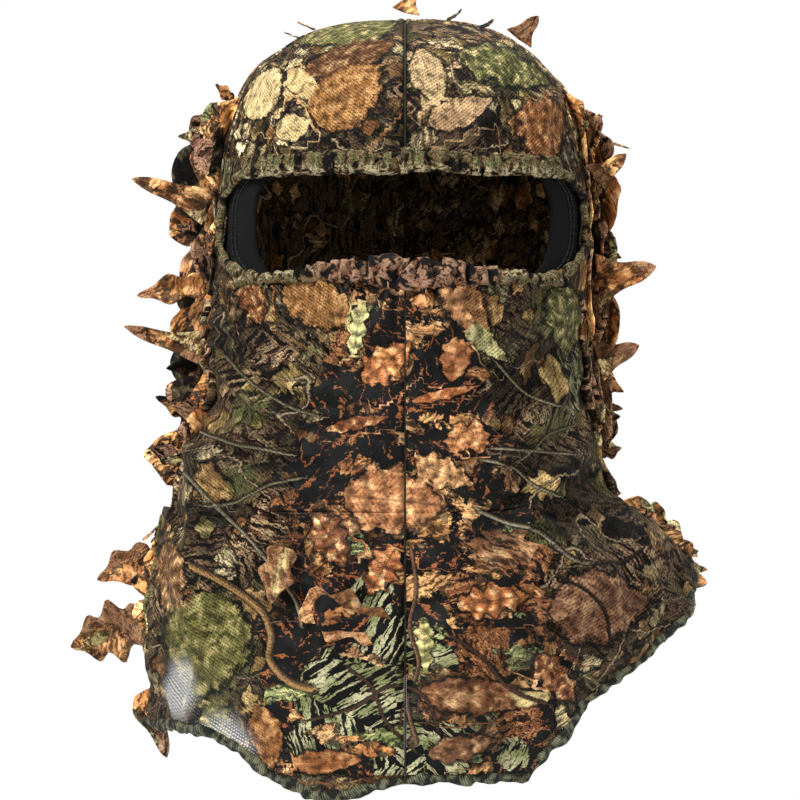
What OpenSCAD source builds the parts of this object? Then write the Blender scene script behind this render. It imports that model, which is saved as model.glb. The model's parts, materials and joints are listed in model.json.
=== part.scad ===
// Leafy camouflage face mask: a hood, a face veil, a front bib and a rear cape of thin
// mesh cloth with cut leaf tongues sewn on, in the shape it takes when it is worn.
// Millimetres. +Z is up and the wearer looks along -Y. The origin is the middle of the
// wearer's head at eye level.

/* [Hood] */
// Height of the crown above eye level
crown_h = 91; // [86:1:96]
// Half width of the hood at eye level
hood_w = 84; // [81:0.5:87]
// Depth from the head's middle to the forehead
front_d = 97; // [94:1:100]
// Depth from the head's middle to the back of the head
back_d = 98; // [94:1:102]
// Squareness of the crown's outline, where 2 is an ellipse
crown_square = 2.7; // [2.4:0.1:3]
// Squareness of the level outline, where 2 is an ellipse
level_square = 2.25; // [2:0.05:2.5]

/* [Eye opening] */
// Height of the crown's lower edge at the middle, where its elastic casing begins
brow_z = 30; // [27:1:33]
// How far that edge drops at the corners
brow_drop = 2; // [1:0.5:5]
// Height of the veil's upper edge at the nose, where its elastic casing begins
nose_edge_z = -25; // [-28:1:-23]
// Height of that edge at the corners
cheek_edge_z = -29; // [-32:1:-27]
// Angle round the head from the nose to a corner of the eye opening
eye_a = 66; // [63:1:69]
// How far the nose pushes the veil out
nose_out = 8; // [5:1:10]

/* [Veil, bib and cape] */
// Height of the veil's lower edge
veil_low_z = -76; // [-79:1:-73]
// Height of the chin band's upper edge
chin_top_z = -80; // [-84:1:-80]
// Height of the chin band's lower edge
chin_low_z = -123; // [-125:1:-121]
// Height of the bib's upper edge
bib_top_z = -131; // [-134:1:-130]
// Height of the bib's hem at the middle
bib_hem_z = -239; // [-243:1:-233]
// Height of the cape's upper edge at the back
cape_top_z = -124; // [-128:1:-123]
// Height of the cape's hem at the back
cape_hem_z = -204; // [-210:1:-196]
// How far the bib hangs in front of the veil
bib_step = 4; // [3.5:0.5:5]
// How far the chin band stands off, which leaves room for the veil behind it
chin_step = 6; // [5.5:0.5:7]

/* [Cloth] */
// Thickness of a cloth panel with its seam allowance
cloth_t = 1; // [0.8:0.1:1.2]
// Thickness of a cut leaf tongue
leaf_t = 0.7; // [0.5:0.1:0.8]
// Gap between neighbouring panels, in degrees round the head
seam_gap = 0.5; // [0.4:0.1:0.8]
// Radius of a sewn seam's ridge
seam_r = 0.7; // [0.5:0.1:0.9]

/* [Hidden] */

// Outline of the cloth below eye level, every station_step down:
// half width on the left and on the right, depth in front and at the back.
station_step = 40;
stations = [
  [hood_w + 1, hood_w - 1, front_d, back_d],
  [hood_w + 4, hood_w - 1, front_d + 13, back_d - 6],
  [hood_w + 5, hood_w, front_d + 16, back_d - 19],
  [hood_w + 19, hood_w + 8, front_d + 17, back_d - 24],
  [hood_w + 27, hood_w + 44, front_d + 19, back_d - 14],
  [hood_w + 29, hood_w + 33, front_d + 21, back_d - 2],
  [hood_w + 24, hood_w + 20, front_d + 21, back_d + 6],
  [hood_w + 20, hood_w + 14, front_d + 21, back_d + 8]];

side_a = 128;        // angle where the side panel meets the back panel
bib_a = 84;          // angle of the bib's free side edge
cape_a = 90;         // angle of the cape's free side edge
hem_rise = 88;       // how much higher the bib's hem is at the right shoulder
hem_r = 1.2;         // half width of an overlocked hem
apex_v = 0.015;      // where the crown's panels end, just short of the apex
crown_even = 1.35;   // evens out the spacing down the crown
band_gap = 0.15;     // clearance between an elastic and its casing
casing_w = 4.2;      // half width of an elastic casing
casing_t = 1.6;      // half thickness of an elastic casing
casing_wall = 0.6;   // cloth of an elastic casing
ridge = cloth_t + seam_r + 0.05;

function smooth(t) = let (c = min(1, max(0, t))) c * c * (3 - 2 * c);
function mix(a, b, t) = a + (b - a) * t;
function spow(x, p) = sign(x) * pow(abs(x), p);
function unit(v) = v / norm(v);

// Catmull-Rom value between b and c.
function spline(a, b, c, d, t) =
  0.5 * (2 * b + (c - a) * t + (2 * a - 5 * b + 4 * c - d) * t * t + (3 * b - a - 3 * c + d) * pow(t, 3));

// The outline's k-th measure at a height.
function measure(k, z) =
  let (n = len(stations) - 1, s = min(n - 0.001, max(0, -z / station_step)), i = floor(s))
  spline(stations[max(0, i - 1)][k], stations[i][k], stations[i + 1][k], stations[min(n, i + 2)][k], s - i);

// v runs down the cloth from 0 at the apex to 1 at eye level, then by 1 for each 100 mm.
drop = 100;
function tilt(v) = 90 * pow(v, crown_even);
function height(v) = v < 1 ? crown_h * pow(cos(tilt(v)), 2 / crown_square) : -drop * (v - 1);
function at_height(z) = z > 0 ? pow(acos(pow(z / crown_h, crown_square / 2)) / 90, 1 / crown_even) : 1 - z / drop;

function nose(a, z) = nose_out * exp(-pow(a / 13, 2)) * exp(-pow((z + 26) / 22, 2));

// Point of the cloth's inner surface at angle a round the head, from the nose to +X.
function point(a, v) =
  let (
    z = height(v),
    shrink = v < 1 ? pow(sin(tilt(v)), 2 / crown_square) : 1,
    across = measure(sin(a) < 0 ? 0 : 1, z),
    along = measure(cos(a) > 0 ? 2 : 3, z))
  [across * shrink * spow(sin(a), 2 / level_square),
   -along * shrink * spow(cos(a), 2 / level_square) - nose(a, z), z];

// Outward normal there.
function normal(a, v) =
  let (da = point(a + 1, v) - point(a - 1, v), dv = point(a, v + 0.01) - point(a, v - 0.01))
  unit(cross(dv, da));

function lifted(a, v, off) = point(a, v) + off * normal(a, v);

// Edges of the eye opening, as heights.
function brow_edge(a) = brow_z - brow_drop * pow(abs(a) / eye_a, 4);
function cheek_edge(a) = mix(nose_edge_z, cheek_edge_z, smooth(abs(a) / eye_a));

// Heights of the bib's hem round the chest, and of the cape's hem round the back.
function bib_hem_edge(a) =
  bib_hem_z - 8 * exp(-pow((a + 14) / 10, 2)) + 19 * smooth((-a - 24) / 24)
  + hem_rise * pow(max(0, (a - 30) / (bib_a - 30)), 0.85);
function cape_hem_edge(a) = cape_hem_z + (a < 180 ? 52 * smooth((150 - a) / 60) : -4);

// A cloth patch. where(s, t) gives [angle, v] for s and t from 0 to 1.
module patch(where, ns, nt, lo, hi) {
  layer = function (off) [for (i = [0:ns], j = [0:nt])
    let (w = where(i / ns, j / nt)) lifted(w[0], w[1], off)];
  m = nt + 1;
  half = (ns + 1) * m;
  faces = [
    for (i = [0:ns - 1], j = [0:nt - 1]) let (p = i * m + j)
      each [[p + half, p + half + m, p + half + m + 1], [p + half, p + half + m + 1, p + half + 1],
            [p, p + m + 1, p + m], [p, p + 1, p + m + 1]],
    for (i = [0:ns - 1]) let (p = i * m, q = i * m + nt)
      each [[p, p + m, p + m + half], [p, p + m + half, p + half],
            [q, q + m + half, q + m], [q, q + half, q + m + half]],
    for (j = [0:nt - 1]) let (p = j, q = ns * m + j)
      each [[p, p + 1 + half, p + 1], [p, p + half, p + 1 + half],
            [q, q + 1, q + 1 + half], [q, q + 1 + half, q + half]]];
  polyhedron(concat(layer(lo), layer(hi)), faces, convexity = 6);
}

// A patch between two angles, from v_top(a) down to v_low(a).
module panel(a0, a1, v_top, v_low, ns, nt, lo = 0, hi = cloth_t) {
  patch(function (s, t) let (a = mix(a0, a1, s)) [a, mix(v_top(a), v_low(a), t)], ns, nt, lo, hi);
}

// One ring of a swept section: w across the cloth, h through it, round the point p.
function ring(p, n, along, w, h, sides) =
  let (side = unit(cross(n, along)))
  [for (k = [0:sides - 1]) let (b = 360 * k / sides) p + w * cos(b) * side + h * sin(b) * n];

// Sweeps an oval along a line on the cloth. track(t) gives [angle, v]; with walls above 0
// the oval is a tube of that wall.
module sweep_on(track, nt, off, w, h, sides, wall = 0) {
  rings = function (shrink) [for (j = [0:nt])
    let (
      t = j / nt, here = track(t), before = track(max(0, t - 0.01)), after = track(min(1, t + 0.01)),
      along = unit(point(after[0], after[1]) - point(before[0], before[1])))
    each ring(lifted(here[0], here[1], off), normal(here[0], here[1]), along, w - shrink, h - shrink, sides)];
  n = (nt + 1) * sides;
  skin = function (from, flip) [for (j = [0:nt - 1], k = [0:sides - 1])
    let (a = from + j * sides + k, b = from + j * sides + (k + 1) % sides)
    each flip ? [[a, b + sides, b], [a, a + sides, b + sides]] : [[a, b, b + sides], [a, b + sides, a + sides]]];
  first = [for (k = [0:sides - 1]) k];
  last = nt * sides;
  if (wall > 0)
    polyhedron(concat(rings(0), rings(wall)), concat(
      skin(0, false), skin(n, true),
      [for (k = first) let (m = (k + 1) % sides) each [[k, k + n, m + n], [k, m + n, m]]],
      [for (k = first) let (m = (k + 1) % sides)
        each [[last + k, last + m + n, last + k + n], [last + k, last + m, last + m + n]]]), convexity = 6);
  else
    polyhedron(rings(0), concat(skin(0, false),
      [[for (k = first) sides - 1 - k]], [[for (k = first) last + k]]), convexity = 6);
}

// Half outline of a leaf: width along its length, with pointed lobes.
function leaf_half(t, lobes) =
  pow(sin(180 * pow(0.06 + 0.94 * t, 0.75)), 0.75) * (0.8 + 0.2 * cos(360 * lobes * (1 - t) + 40));

module leaf_outline(len, wid, lobes) {
  steps = 5 * lobes + 2;
  half = [for (i = [0:steps - 1]) [len * i / steps, max(0.8, wid / 2 * leaf_half(i / steps, lobes))]];
  polygon(concat(half, [[len, 0]], [for (i = [steps - 1:-1:0]) [half[i][0], -half[i][1]]]));
}

// A flat leaf from p along dir, with its flat side towards face.
module leaf(p, dir, face, len, wid, lobes) {
  x = unit(dir);
  y = unit(cross(face, x));
  z = cross(x, y);
  multmatrix([[x[0], y[0], z[0], p[0]], [x[1], y[1], z[1], p[1]], [x[2], y[2], z[2], p[2]]])
    translate([0, 0, -leaf_t / 2]) linear_extrude(leaf_t) leaf_outline(len, wid, lobes);
}

// A leaf sewn to the cloth: turn is its heading in the cloth, 0 down and 90 towards +a,
// and lift its angle off the cloth.
module sewn_leaf(a, z, turn, lift, len, wid, lobes, off) {
  v = at_height(z);
  n = normal(a, v);
  down = unit(point(a, v + 0.01) - point(a, v - 0.01));
  side = unit(point(a + 1, v) - point(a - 1, v));
  flat = unit(cos(turn) * down + sin(turn) * side);
  leaf(lifted(a, v, off), cos(lift) * flat + sin(lift) * n, cos(lift) * n - sin(lift) * flat, len, wid, lobes);
}

// A leaf that stands out from the cloth on its own hinge line.
module loose_leaf(a, z, dir, face, len, wid, lobes, off) {
  leaf(lifted(a, at_height(z), off), dir, face, len, wid, lobes);
}

// ---- hood ----

module crown_panel(side) {
  color("peru") panel(side * seam_gap / 2 - (side < 0 ? eye_a - seam_gap / 2 : 0),
    side * seam_gap / 2 + (side > 0 ? eye_a - seam_gap / 2 : 0),
    function (a) apex_v, function (a) at_height(brow_edge(a)), 11, 11);
}

module crown_seam() {
  color("saddlebrown") sweep_on(function (t) [0, mix(apex_v, at_height(brow_z + 5), t)], 14, ridge, seam_r, seam_r, 6);
}

module crown_side_seam(side) {
  color("saddlebrown") sweep_on(function (t) [side * (eye_a + seam_gap / 2), mix(0.12, at_height(brow_z), t)],
    12, ridge, seam_r, seam_r, 6);
}

// The side panel passes behind the corner of the eye opening.
module side_panel(side) {
  low = function (a) at_height(chin_low_z);
  color("darkolivegreen") panel(side < 0 ? -side_a : eye_a + seam_gap, side < 0 ? -eye_a - seam_gap : side_a,
    function (a) apex_v, low, 10, 22);
}

module back_panel(side) {
  color("darkolivegreen") panel(side < 0 ? 180 + seam_gap / 2 : side_a + seam_gap,
    side < 0 ? 360 - side_a - seam_gap : 180 - seam_gap / 2,
    function (a) apex_v, function (a) at_height(cape_top_z + 14), 8, 20);
}

module back_seam() {
  color("saddlebrown") sweep_on(function (t) [180, mix(apex_v, at_height(cape_top_z + 16), t)],
    20, ridge, seam_r, seam_r, 6);
}

function brow_track(t) = let (a = mix(-eye_a, eye_a, t) * 0.985) [a, at_height(brow_edge(a) - casing_w - 0.4)];
function cheek_track(t) = let (a = mix(-eye_a, eye_a, t) * 0.95) [a, at_height(cheek_edge(a) + casing_w + 0.4)];

module brow_casing() {
  color("tan") sweep_on(function (t) brow_track(t), 28, casing_t, casing_w, casing_t, 12, casing_wall);
}

module brow_elastic() {
  inner = casing_wall + band_gap;
  color("white") sweep_on(function (t) brow_track(t), 28, casing_t, casing_w - inner, casing_t - inner, 8);
}

// A black stretch band inside each corner of the eye opening.
liner_in = 20;       // how far round the liner reaches into the opening, in degrees
liner_out = 12;      // how far round it is sewn under the side panel
liner_lo = -3;       // the liner lies behind the hood's cloth, between these offsets
liner_hi = -1.4;
module eye_liner(side) {
  color("black") patch(function (s, t)
    let (a = side * mix(eye_a - liner_in + 20 * pow(2 * t - 1, 2) * 0.45, eye_a + liner_out, s))
    [a, at_height(mix(brow_edge(eye_a) + 1.5, cheek_edge_z - 2, t))],
    6, 8, side < 0 ? liner_lo : liner_hi, side < 0 ? liner_hi : liner_lo);
}

// Machine stitches that hold the liner, as short separate threads.
module liner_stitching(side) {
  color("dimgray") for (i = [0:8]) {
    z0 = mix(brow_edge(eye_a) - 12, cheek_edge_z + 12, i / 8);
    sweep_on(function (t) [side * (eye_a - 3), at_height(z0 - 1.6 + 3.2 * t)], 2, liner_hi + 0.26, 0.24, 0.24, 6);
  }
}

// The band under the chin that the veil slides behind.
module chin_band(side) {
  color("olive") panel(side < 0 ? -62 : seam_gap / 2, side < 0 ? -seam_gap / 2 : 62,
    function (a) at_height(chin_top_z), function (a) at_height(chin_low_z), 8, 4, chin_step, chin_step + cloth_t);
}

// ---- veil ----

veil_a = 62;
module veil_panel(side) {
  color("sienna") panel(side < 0 ? -veil_a : seam_gap / 2, side < 0 ? -seam_gap / 2 : veil_a,
    function (a) at_height(cheek_edge(a)), function (a) at_height(veil_low_z), 10, 8);
}

module veil_seam() {
  color("saddlebrown") sweep_on(function (t) [0, at_height(mix(nose_edge_z - 2, veil_low_z + 2, t))],
    12, ridge, seam_r, seam_r, 6);
}

module cheek_casing() {
  color("tan") sweep_on(function (t) cheek_track(t), 32, casing_t, casing_w, casing_t, 12, casing_wall);
}

module cheek_elastic() {
  inner = casing_wall + band_gap;
  color("white") sweep_on(function (t) cheek_track(t), 32, casing_t, casing_w - inner, casing_t - inner, 8);
}

// Cut leaf strip sewn beside the centre seam, its free edge toothed like leaves.
function toothed(t, teeth, deep) = 1 - deep * abs(2 * (t * teeth - floor(t * teeth)) - 1);
module overlay(side, z0, z1, wide, teeth, off) {
  patch(function (s, t) let (a = side * mix(1.2, wide * toothed(t, teeth, 0.4), side < 0 ? 1 - s : s))
    [a, at_height(mix(z0, z1, t))], 4, 4 * teeth, off, off + leaf_t);
}

module veil_overlay(side) {
  color("chocolate") overlay(side, nose_edge_z - 3, veil_low_z + 10, 24, 4, cloth_t + 0.35);
}

// ---- bib ----

module bib_panel(side) {
  color("darkkhaki") panel(side < 0 ? -bib_a : seam_gap / 2, side < 0 ? -seam_gap / 2 : bib_a,
    function (a) at_height(bib_top_z), function (a) at_height(bib_hem_edge(a)), 12, 9, bib_step, bib_step + cloth_t);
}

module bib_seam() {
  color("saddlebrown") sweep_on(function (t) [0, at_height(mix(bib_top_z - 1, bib_hem_z + 4, t))],
    10, bib_step + ridge, seam_r, seam_r, 6);
}

// Overlocked thread edge round the hem.
module bib_hem() {
  below = function (a) hem_r + 0.3 + 1.7 * smooth((a - 22) / 8) + 0.5 * smooth(-a / 20);
  color("darkgreen") for (side = [-1, 1])
    sweep_on(function (t) let (a = side * mix(0.8, bib_a, t)) [a, at_height(bib_hem_edge(a) - below(a))],
      12, bib_step + cloth_t / 2, hem_r, 1.4, 6);
}

module bib_overlay(side) {
  color("chocolate") overlay(side, bib_top_z - 1, -172, 23, 3, bib_step + cloth_t + 0.4);
}

// ---- cape ----

module cape_panel(side) {
  top = function (a) at_height(cape_top_z - 8 * smooth(abs(a - 180) / 60 - 0.5));
  color("darkolivegreen") panel(side < 0 ? 180 + seam_gap / 2 : cape_a, side < 0 ? 360 - cape_a : 180 - seam_gap / 2,
    top, function (a) at_height(cape_hem_edge(a)), 12, 6);
}

module cape_seam() {
  color("saddlebrown") sweep_on(function (t) [180, at_height(mix(cape_top_z - 2, cape_hem_z + 3, t))],
    8, ridge, seam_r, seam_r, 6);
}

module cape_hem() {
  color("darkgreen") for (side = [-1, 1])
    sweep_on(function (t) let (a = 180 + side * mix(0.8, 88.5, t)) [a, at_height(cape_hem_edge(a) - hem_r - 1)],
      24, cloth_t / 2, hem_r, 1.4, 6);
}

// ---- sewn leaves: [angle, height, turn, lift, length, width, lobes] ----

module leaf_rows(rows, off = cloth_t + 0.6) {
  for (r = rows) sewn_leaf(r[0], r[1], r[2], r[3], r[4], r[5], r[6], off);
}

module crown_leaves() {
  color("burlywood") leaf_rows([
    [-96, 84, 20, 24, 26, 15, 2], [78, 84, -20, 26, 26, 15, 2], [150, 86, 0, 24, 28, 16, 2],
    [-150, 84, 10, 24, 28, 16, 2]]);
}

module side_leaves(side) {
  color("rosybrown") leaf_rows([
    for (row = [0:3], k = [0:2])
      [side * (86 + 15 * k), 58 - 30 * row - 5 * k, side * (14 - 8 * (k % 2)), 24 + 3 * (row % 2),
       25 - 2 * k, 17, 2 + (row + k) % 2]]);
}

module back_leaves() {
  color("rosybrown") leaf_rows([
    for (row = [0:3], k = [0:4])
      [146 + 17 * k, 56 - 30 * row, 12 * sin(90 * (row + k)), 22, 25, 18, 2 + (row + k) % 2]], cloth_t + 2.4);
}

module cape_leaves(side) {
  color("rosybrown") leaf_rows([
    for (row = [0:1], k = [0:4])
      [180 + side * (12 + 15.5 * k), cape_top_z - 15 - 22 * row + 3 * k * (side > 0 ? 0 : 1), side * -8, 24, 22,
       18, 2 + k % 2]]);
}

// ---- loose leaves, each on its own hinge line: [angle, height, dir, face, length, width, lobes, off] ----

module loose(a, z, dir, face, len, wid, lobes, off) {
  color("goldenrod") loose_leaf(a, z, dir, face, len, wid, lobes, off);
}
front = [0, -1, 0];
module leaf_temple_left() { loose(-76, 8, [-1, -0.1, 0.35], front, 33, 14, 2, 3); }
module leaf_cheek_left() { loose(-76, -26, [-1, -0.1, -0.22], front, 30, 15, 2, 3); }
module leaf_jaw_left() { loose(-76, -54, [-1, -0.1, 0.14], front, 36, 14, 2, 3); }
module leaf_shoulder_left() { loose(-98, -146, [-1, 0, -0.6], front, 28, 20, 2, 5); }
module leaf_cape_left() { loose(-98, -177, [-1, 0, -0.3], front, 36, 32, 3, 5); }
module leaf_temple_right() { loose(78, 20, [0.8, -0.1, 0.6], front, 18, 13, 2, 3); }
module leaf_cheek_right() { loose(78, -24, [1, -0.1, -0.3], front, 26, 20, 2, 3); }
module leaf_jaw_right() { loose(78, -60, [1, -0.1, 0.28], front, 19, 16, 2, 3); }
module leaf_crown_top() { loose(0, 90.2, [0.3, 0.1, 1], front, 12, 10, 2, 3.4); }
module leaf_crown_right() { loose(90, 82, [0.6, -0.1, 0.8], front, 14, 11, 2, 2); }
module leaf_bib_centre() { loose(-19, -163, [0.9, -0.2, -0.4], front, 48, 24, 3, 9); }
module leaf_bib_side() { loose(-24, -140, [-0.3, -0.35, -0.9], front, 28, 18, 2, 8); }

crown_panel(-1);  // crown_panel_left
crown_panel(1);  // crown_panel_right
crown_seam();
side_panel(-1);  // side_panel_left
side_panel(1);  // side_panel_right
back_panel(-1);  // back_panel_left
back_panel(1);  // back_panel_right
back_seam();
crown_side_seam(-1);  // crown_side_seam_left
crown_side_seam(1);  // crown_side_seam_right
brow_casing();
brow_elastic();
eye_liner(-1);  // eye_liner_left
eye_liner(1);  // eye_liner_right
liner_stitching(-1);  // liner_stitching_left
liner_stitching(1);  // liner_stitching_right
chin_band(-1);  // chin_band_left
chin_band(1);  // chin_band_right
veil_panel(-1);  // veil_panel_left
veil_panel(1);  // veil_panel_right
veil_seam();
cheek_casing();
cheek_elastic();
veil_overlay(-1);  // veil_overlay_left
veil_overlay(1);  // veil_overlay_right
bib_panel(-1);  // bib_panel_left
bib_panel(1);  // bib_panel_right
bib_seam();
bib_hem();
bib_overlay(-1);  // bib_overlay_left
bib_overlay(1);  // bib_overlay_right
cape_panel(-1);  // cape_panel_left
cape_panel(1);  // cape_panel_right
cape_seam();
cape_hem();
crown_leaves();
side_leaves(-1);  // side_leaves_left
side_leaves(1);  // side_leaves_right
back_leaves();
cape_leaves(-1);  // cape_leaves_left
cape_leaves(1);  // cape_leaves_right
leaf_temple_left();
leaf_cheek_left();
leaf_jaw_left();
leaf_shoulder_left();
leaf_cape_left();
leaf_temple_right();
leaf_cheek_right();
leaf_jaw_right();
leaf_crown_top();
leaf_crown_right();
leaf_bib_centre();
leaf_bib_side();
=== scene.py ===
import json
import math

import bpy
import numpy as np
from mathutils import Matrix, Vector


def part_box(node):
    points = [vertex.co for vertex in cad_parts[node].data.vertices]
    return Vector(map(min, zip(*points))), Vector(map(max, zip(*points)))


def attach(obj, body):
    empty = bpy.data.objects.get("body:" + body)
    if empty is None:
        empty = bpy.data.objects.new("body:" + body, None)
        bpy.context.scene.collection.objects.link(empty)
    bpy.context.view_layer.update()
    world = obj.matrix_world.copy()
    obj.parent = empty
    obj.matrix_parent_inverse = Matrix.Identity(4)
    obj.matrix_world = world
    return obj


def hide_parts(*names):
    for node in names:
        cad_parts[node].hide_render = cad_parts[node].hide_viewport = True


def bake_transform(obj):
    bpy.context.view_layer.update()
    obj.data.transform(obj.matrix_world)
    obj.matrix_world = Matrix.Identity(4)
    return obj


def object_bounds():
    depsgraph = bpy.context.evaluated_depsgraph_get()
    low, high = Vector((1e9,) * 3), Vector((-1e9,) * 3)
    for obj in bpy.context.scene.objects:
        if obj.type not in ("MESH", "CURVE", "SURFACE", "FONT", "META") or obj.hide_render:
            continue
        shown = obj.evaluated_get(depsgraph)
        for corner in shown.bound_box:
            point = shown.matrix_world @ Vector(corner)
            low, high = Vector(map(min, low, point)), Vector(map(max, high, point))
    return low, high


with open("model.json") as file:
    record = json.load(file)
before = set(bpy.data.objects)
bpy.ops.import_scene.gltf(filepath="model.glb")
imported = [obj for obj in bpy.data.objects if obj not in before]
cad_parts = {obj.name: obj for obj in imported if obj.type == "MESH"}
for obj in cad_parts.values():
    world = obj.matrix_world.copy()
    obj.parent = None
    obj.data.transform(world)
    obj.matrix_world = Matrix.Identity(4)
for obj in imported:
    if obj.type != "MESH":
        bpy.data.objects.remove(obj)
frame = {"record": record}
cad_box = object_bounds()

# ---------------------------------------------------------------- the cloth's shape
# The outline that part.scad draws, in millimetres: half width on the left and right,
# depth in front and behind, every STEP down from eye level.
STEP = 40.0
DROP = 100.0           # what one unit of v is worth below eye level
EVEN = 1.35            # spreads v evenly over the dome
SQUARE, LEVEL = 2.7, 2.25      # squareness of the crown's outline and of the level one
EYE_A, BIB_A, CAPE_A = 66.0, 84.0, 90.0     # degrees from the nose to each one's edge
PER_DEGREE = 1.75      # cloth round the head, in millimetres to a degree
CROWN_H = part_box("crown_panel_left")[1].z * 1000 - 1.0
HOOD_W = 84.0
FRONT_D = -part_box("crown_panel_left")[0].y * 1000 - 1.0
BACK_D = 98.0
STATIONS = np.array([
    [HOOD_W + 1, HOOD_W - 1, FRONT_D, BACK_D],
    [HOOD_W + 4, HOOD_W - 1, FRONT_D + 13, BACK_D - 6],
    [HOOD_W + 5, HOOD_W, FRONT_D + 16, BACK_D - 19],
    [HOOD_W + 19, HOOD_W + 8, FRONT_D + 17, BACK_D - 24],
    [HOOD_W + 27, HOOD_W + 44, FRONT_D + 19, BACK_D - 14],
    [HOOD_W + 29, HOOD_W + 33, FRONT_D + 21, BACK_D - 2],
    [HOOD_W + 24, HOOD_W + 20, FRONT_D + 21, BACK_D + 6],
    [HOOD_W + 20, HOOD_W + 14, FRONT_D + 21, BACK_D + 8]])
NOSE_OUT = 8.0
BROW_Z, BROW_DROP, NOSE_Z, CHEEK_Z = 30.0, 2.0, -25.0, -29.0
JOIN_Z = -125.0        # where the face's cloth meets the bib's, under the chin
CAPE_TOP, CAPE_HEM = -124.0, -204.0
HEM_Z = -239.0
TOP_Z = CROWN_H * (1 - 1e-8)   # the crown's panels meet here, a hair below the top


def smooth(t):
    t = np.clip(t, 0, 1)
    return t * t * (3 - 2 * t)


def lerp(a, b, t):
    return a + (b - a) * t


def spow(x, p):
    return np.sign(x) * np.abs(x) ** p


def unit(v):
    return v / np.maximum(np.linalg.norm(v, axis=-1, keepdims=True), 1e-9)


def curve(a, b, c, d, t):
    """A smooth curve's value at t between b and c, with a before them and d after."""
    bend, twist = 2 * a - 5 * b + 4 * c - d, 3 * b - a - 3 * c + d
    return 0.5 * (2 * b + (c - a) * t + bend * t ** 2 + twist * t ** 3)


def measure(k, z):
    """Column k of the stations at height z, on a smooth curve."""
    last = len(STATIONS) - 1
    s = np.clip(-z / STEP, 0, last - 0.001)
    i = np.floor(s).astype(int)
    t = s - i
    a, b = STATIONS[np.maximum(0, i - 1), k], STATIONS[i, k]
    c, d = STATIONS[i + 1, k], STATIONS[np.minimum(last, i + 2), k]
    return curve(a, b, c, d, t)


def height(v):
    """Height of the place v on the cloth: 0 at the top, 1 at eye level and more below it."""
    up = np.cos(np.radians(90 * np.clip(v, 0, 1) ** EVEN))
    return np.where(v < 1, CROWN_H * np.maximum(up, 0) ** (2 / SQUARE), -DROP * (v - 1))


def at_height(z):
    """The v of a height."""
    z = np.asarray(z, float)
    up = np.clip(np.maximum(z, 0) / CROWN_H, 0, 1) ** (SQUARE / 2)
    return np.where(z > 0, (np.degrees(np.arccos(up)) / 90) ** (1 / EVEN), 1 - z / DROP)


def narrowing(v):
    """How much narrower the dome is than the hood at eye level."""
    return np.where(v < 1, np.sin(np.radians(90 * np.clip(v, 0, 1) ** EVEN)) ** (2 / SQUARE), 1.0)


def point(a, v):
    """The plain cloth at a degrees from the nose, positive to the picture's right."""
    a, v = np.broadcast_arrays(np.asarray(a, float), np.asarray(v, float))
    z = height(v)
    shrink = narrowing(v)
    sa, ca = np.sin(np.radians(a)), np.cos(np.radians(a))
    across = np.where(sa < 0, measure(0, z), measure(1, z))
    along = np.where(ca > 0, measure(2, z), measure(3, z))
    turn = (a + 180) % 360 - 180
    nose = NOSE_OUT * np.exp(-(turn / 13) ** 2) * np.exp(-((z + 26) / 22) ** 2)
    x = across * shrink * spow(sa, 2 / LEVEL)
    y = -along * shrink * spow(ca, 2 / LEVEL) - nose
    return np.stack([x, y, z], -1)


def normal(a, v):
    return unit(np.cross(point(a, v + 0.01) - point(a, v - 0.01), point(a + 1, v) - point(a - 1, v)))


def lifted(a, v, off):
    """A point that stands off the plain cloth."""
    return point(a, v) + np.asarray(off)[..., None] * normal(a, v)


def brow_edge(a):
    return BROW_Z - BROW_DROP * (np.abs(a) / EYE_A) ** 4


def cheek_edge(a):
    return lerp(NOSE_Z, CHEEK_Z, smooth(np.abs(a) / EYE_A))


def hem_edge(a):
    return (HEM_Z - 8 * np.exp(-((a + 14) / 10) ** 2) + 19 * smooth((-a - 24) / 24)
            + 88 * np.maximum(0, (a - 26) / (BIB_A - 26)) ** 0.68)


def cape_edge(a):
    return CAPE_HEM + np.where(a < 180, 52 * smooth((150 - a) / 60), 16 * smooth((a - 215) / 25))


DOME_V = np.linspace(0, 1, 200)
DOME_STEPS = np.linalg.norm(np.diff(point(45, DOME_V), axis=0), axis=1)
DOME_ARC = np.concatenate([[0], np.cumsum(DOME_STEPS)]) - DOME_STEPS.sum()


def down_cloth(v):
    """Length down the cloth from eye level, positive below it."""
    return np.where(v < 1, np.interp(v, DOME_V, DOME_ARC), DROP * (v - 1))


# ---------------------------------------------------------------- seeded noise
def lattice(seed):
    return np.random.RandomState(seed).rand(64, 64) * 2 - 1


def noise(x, y, seed):
    """Smooth noise between -1 and 1 that the seed settles."""
    g = lattice(seed)
    x, y = np.asarray(x, float) + 17.3, np.asarray(y, float) + 9.1
    i, j = np.floor(x).astype(int), np.floor(y).astype(int)
    fx, fy = smooth(x - i), smooth(y - j)
    low = lerp(g[i % 64, j % 64], g[(i + 1) % 64, j % 64], fx)
    high = lerp(g[i % 64, (j + 1) % 64], g[(i + 1) % 64, (j + 1) % 64], fx)
    return lerp(low, high, fy)


def wobble(x, step, seed):
    """Noise along one line, which turns about once in a step."""
    return noise(x / step, x * 0, seed)


def fractal(x, y, seed, octaves=3):
    """Noise with finer and weaker noise added to it."""
    return sum(noise(x * 2 ** k, y * 2 ** k, seed + k) / 2 ** k for k in range(octaves))


# ---------------------------------------------------------------- node trees
def operator(kind, flipped=False):
    """One of Python's operators on sockets and numbers, as a Math node."""
    def apply(self, other):
        a, b = (other, self) if flipped else (self, other)
        return self.tree.math(kind, a, b)
    return apply


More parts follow.
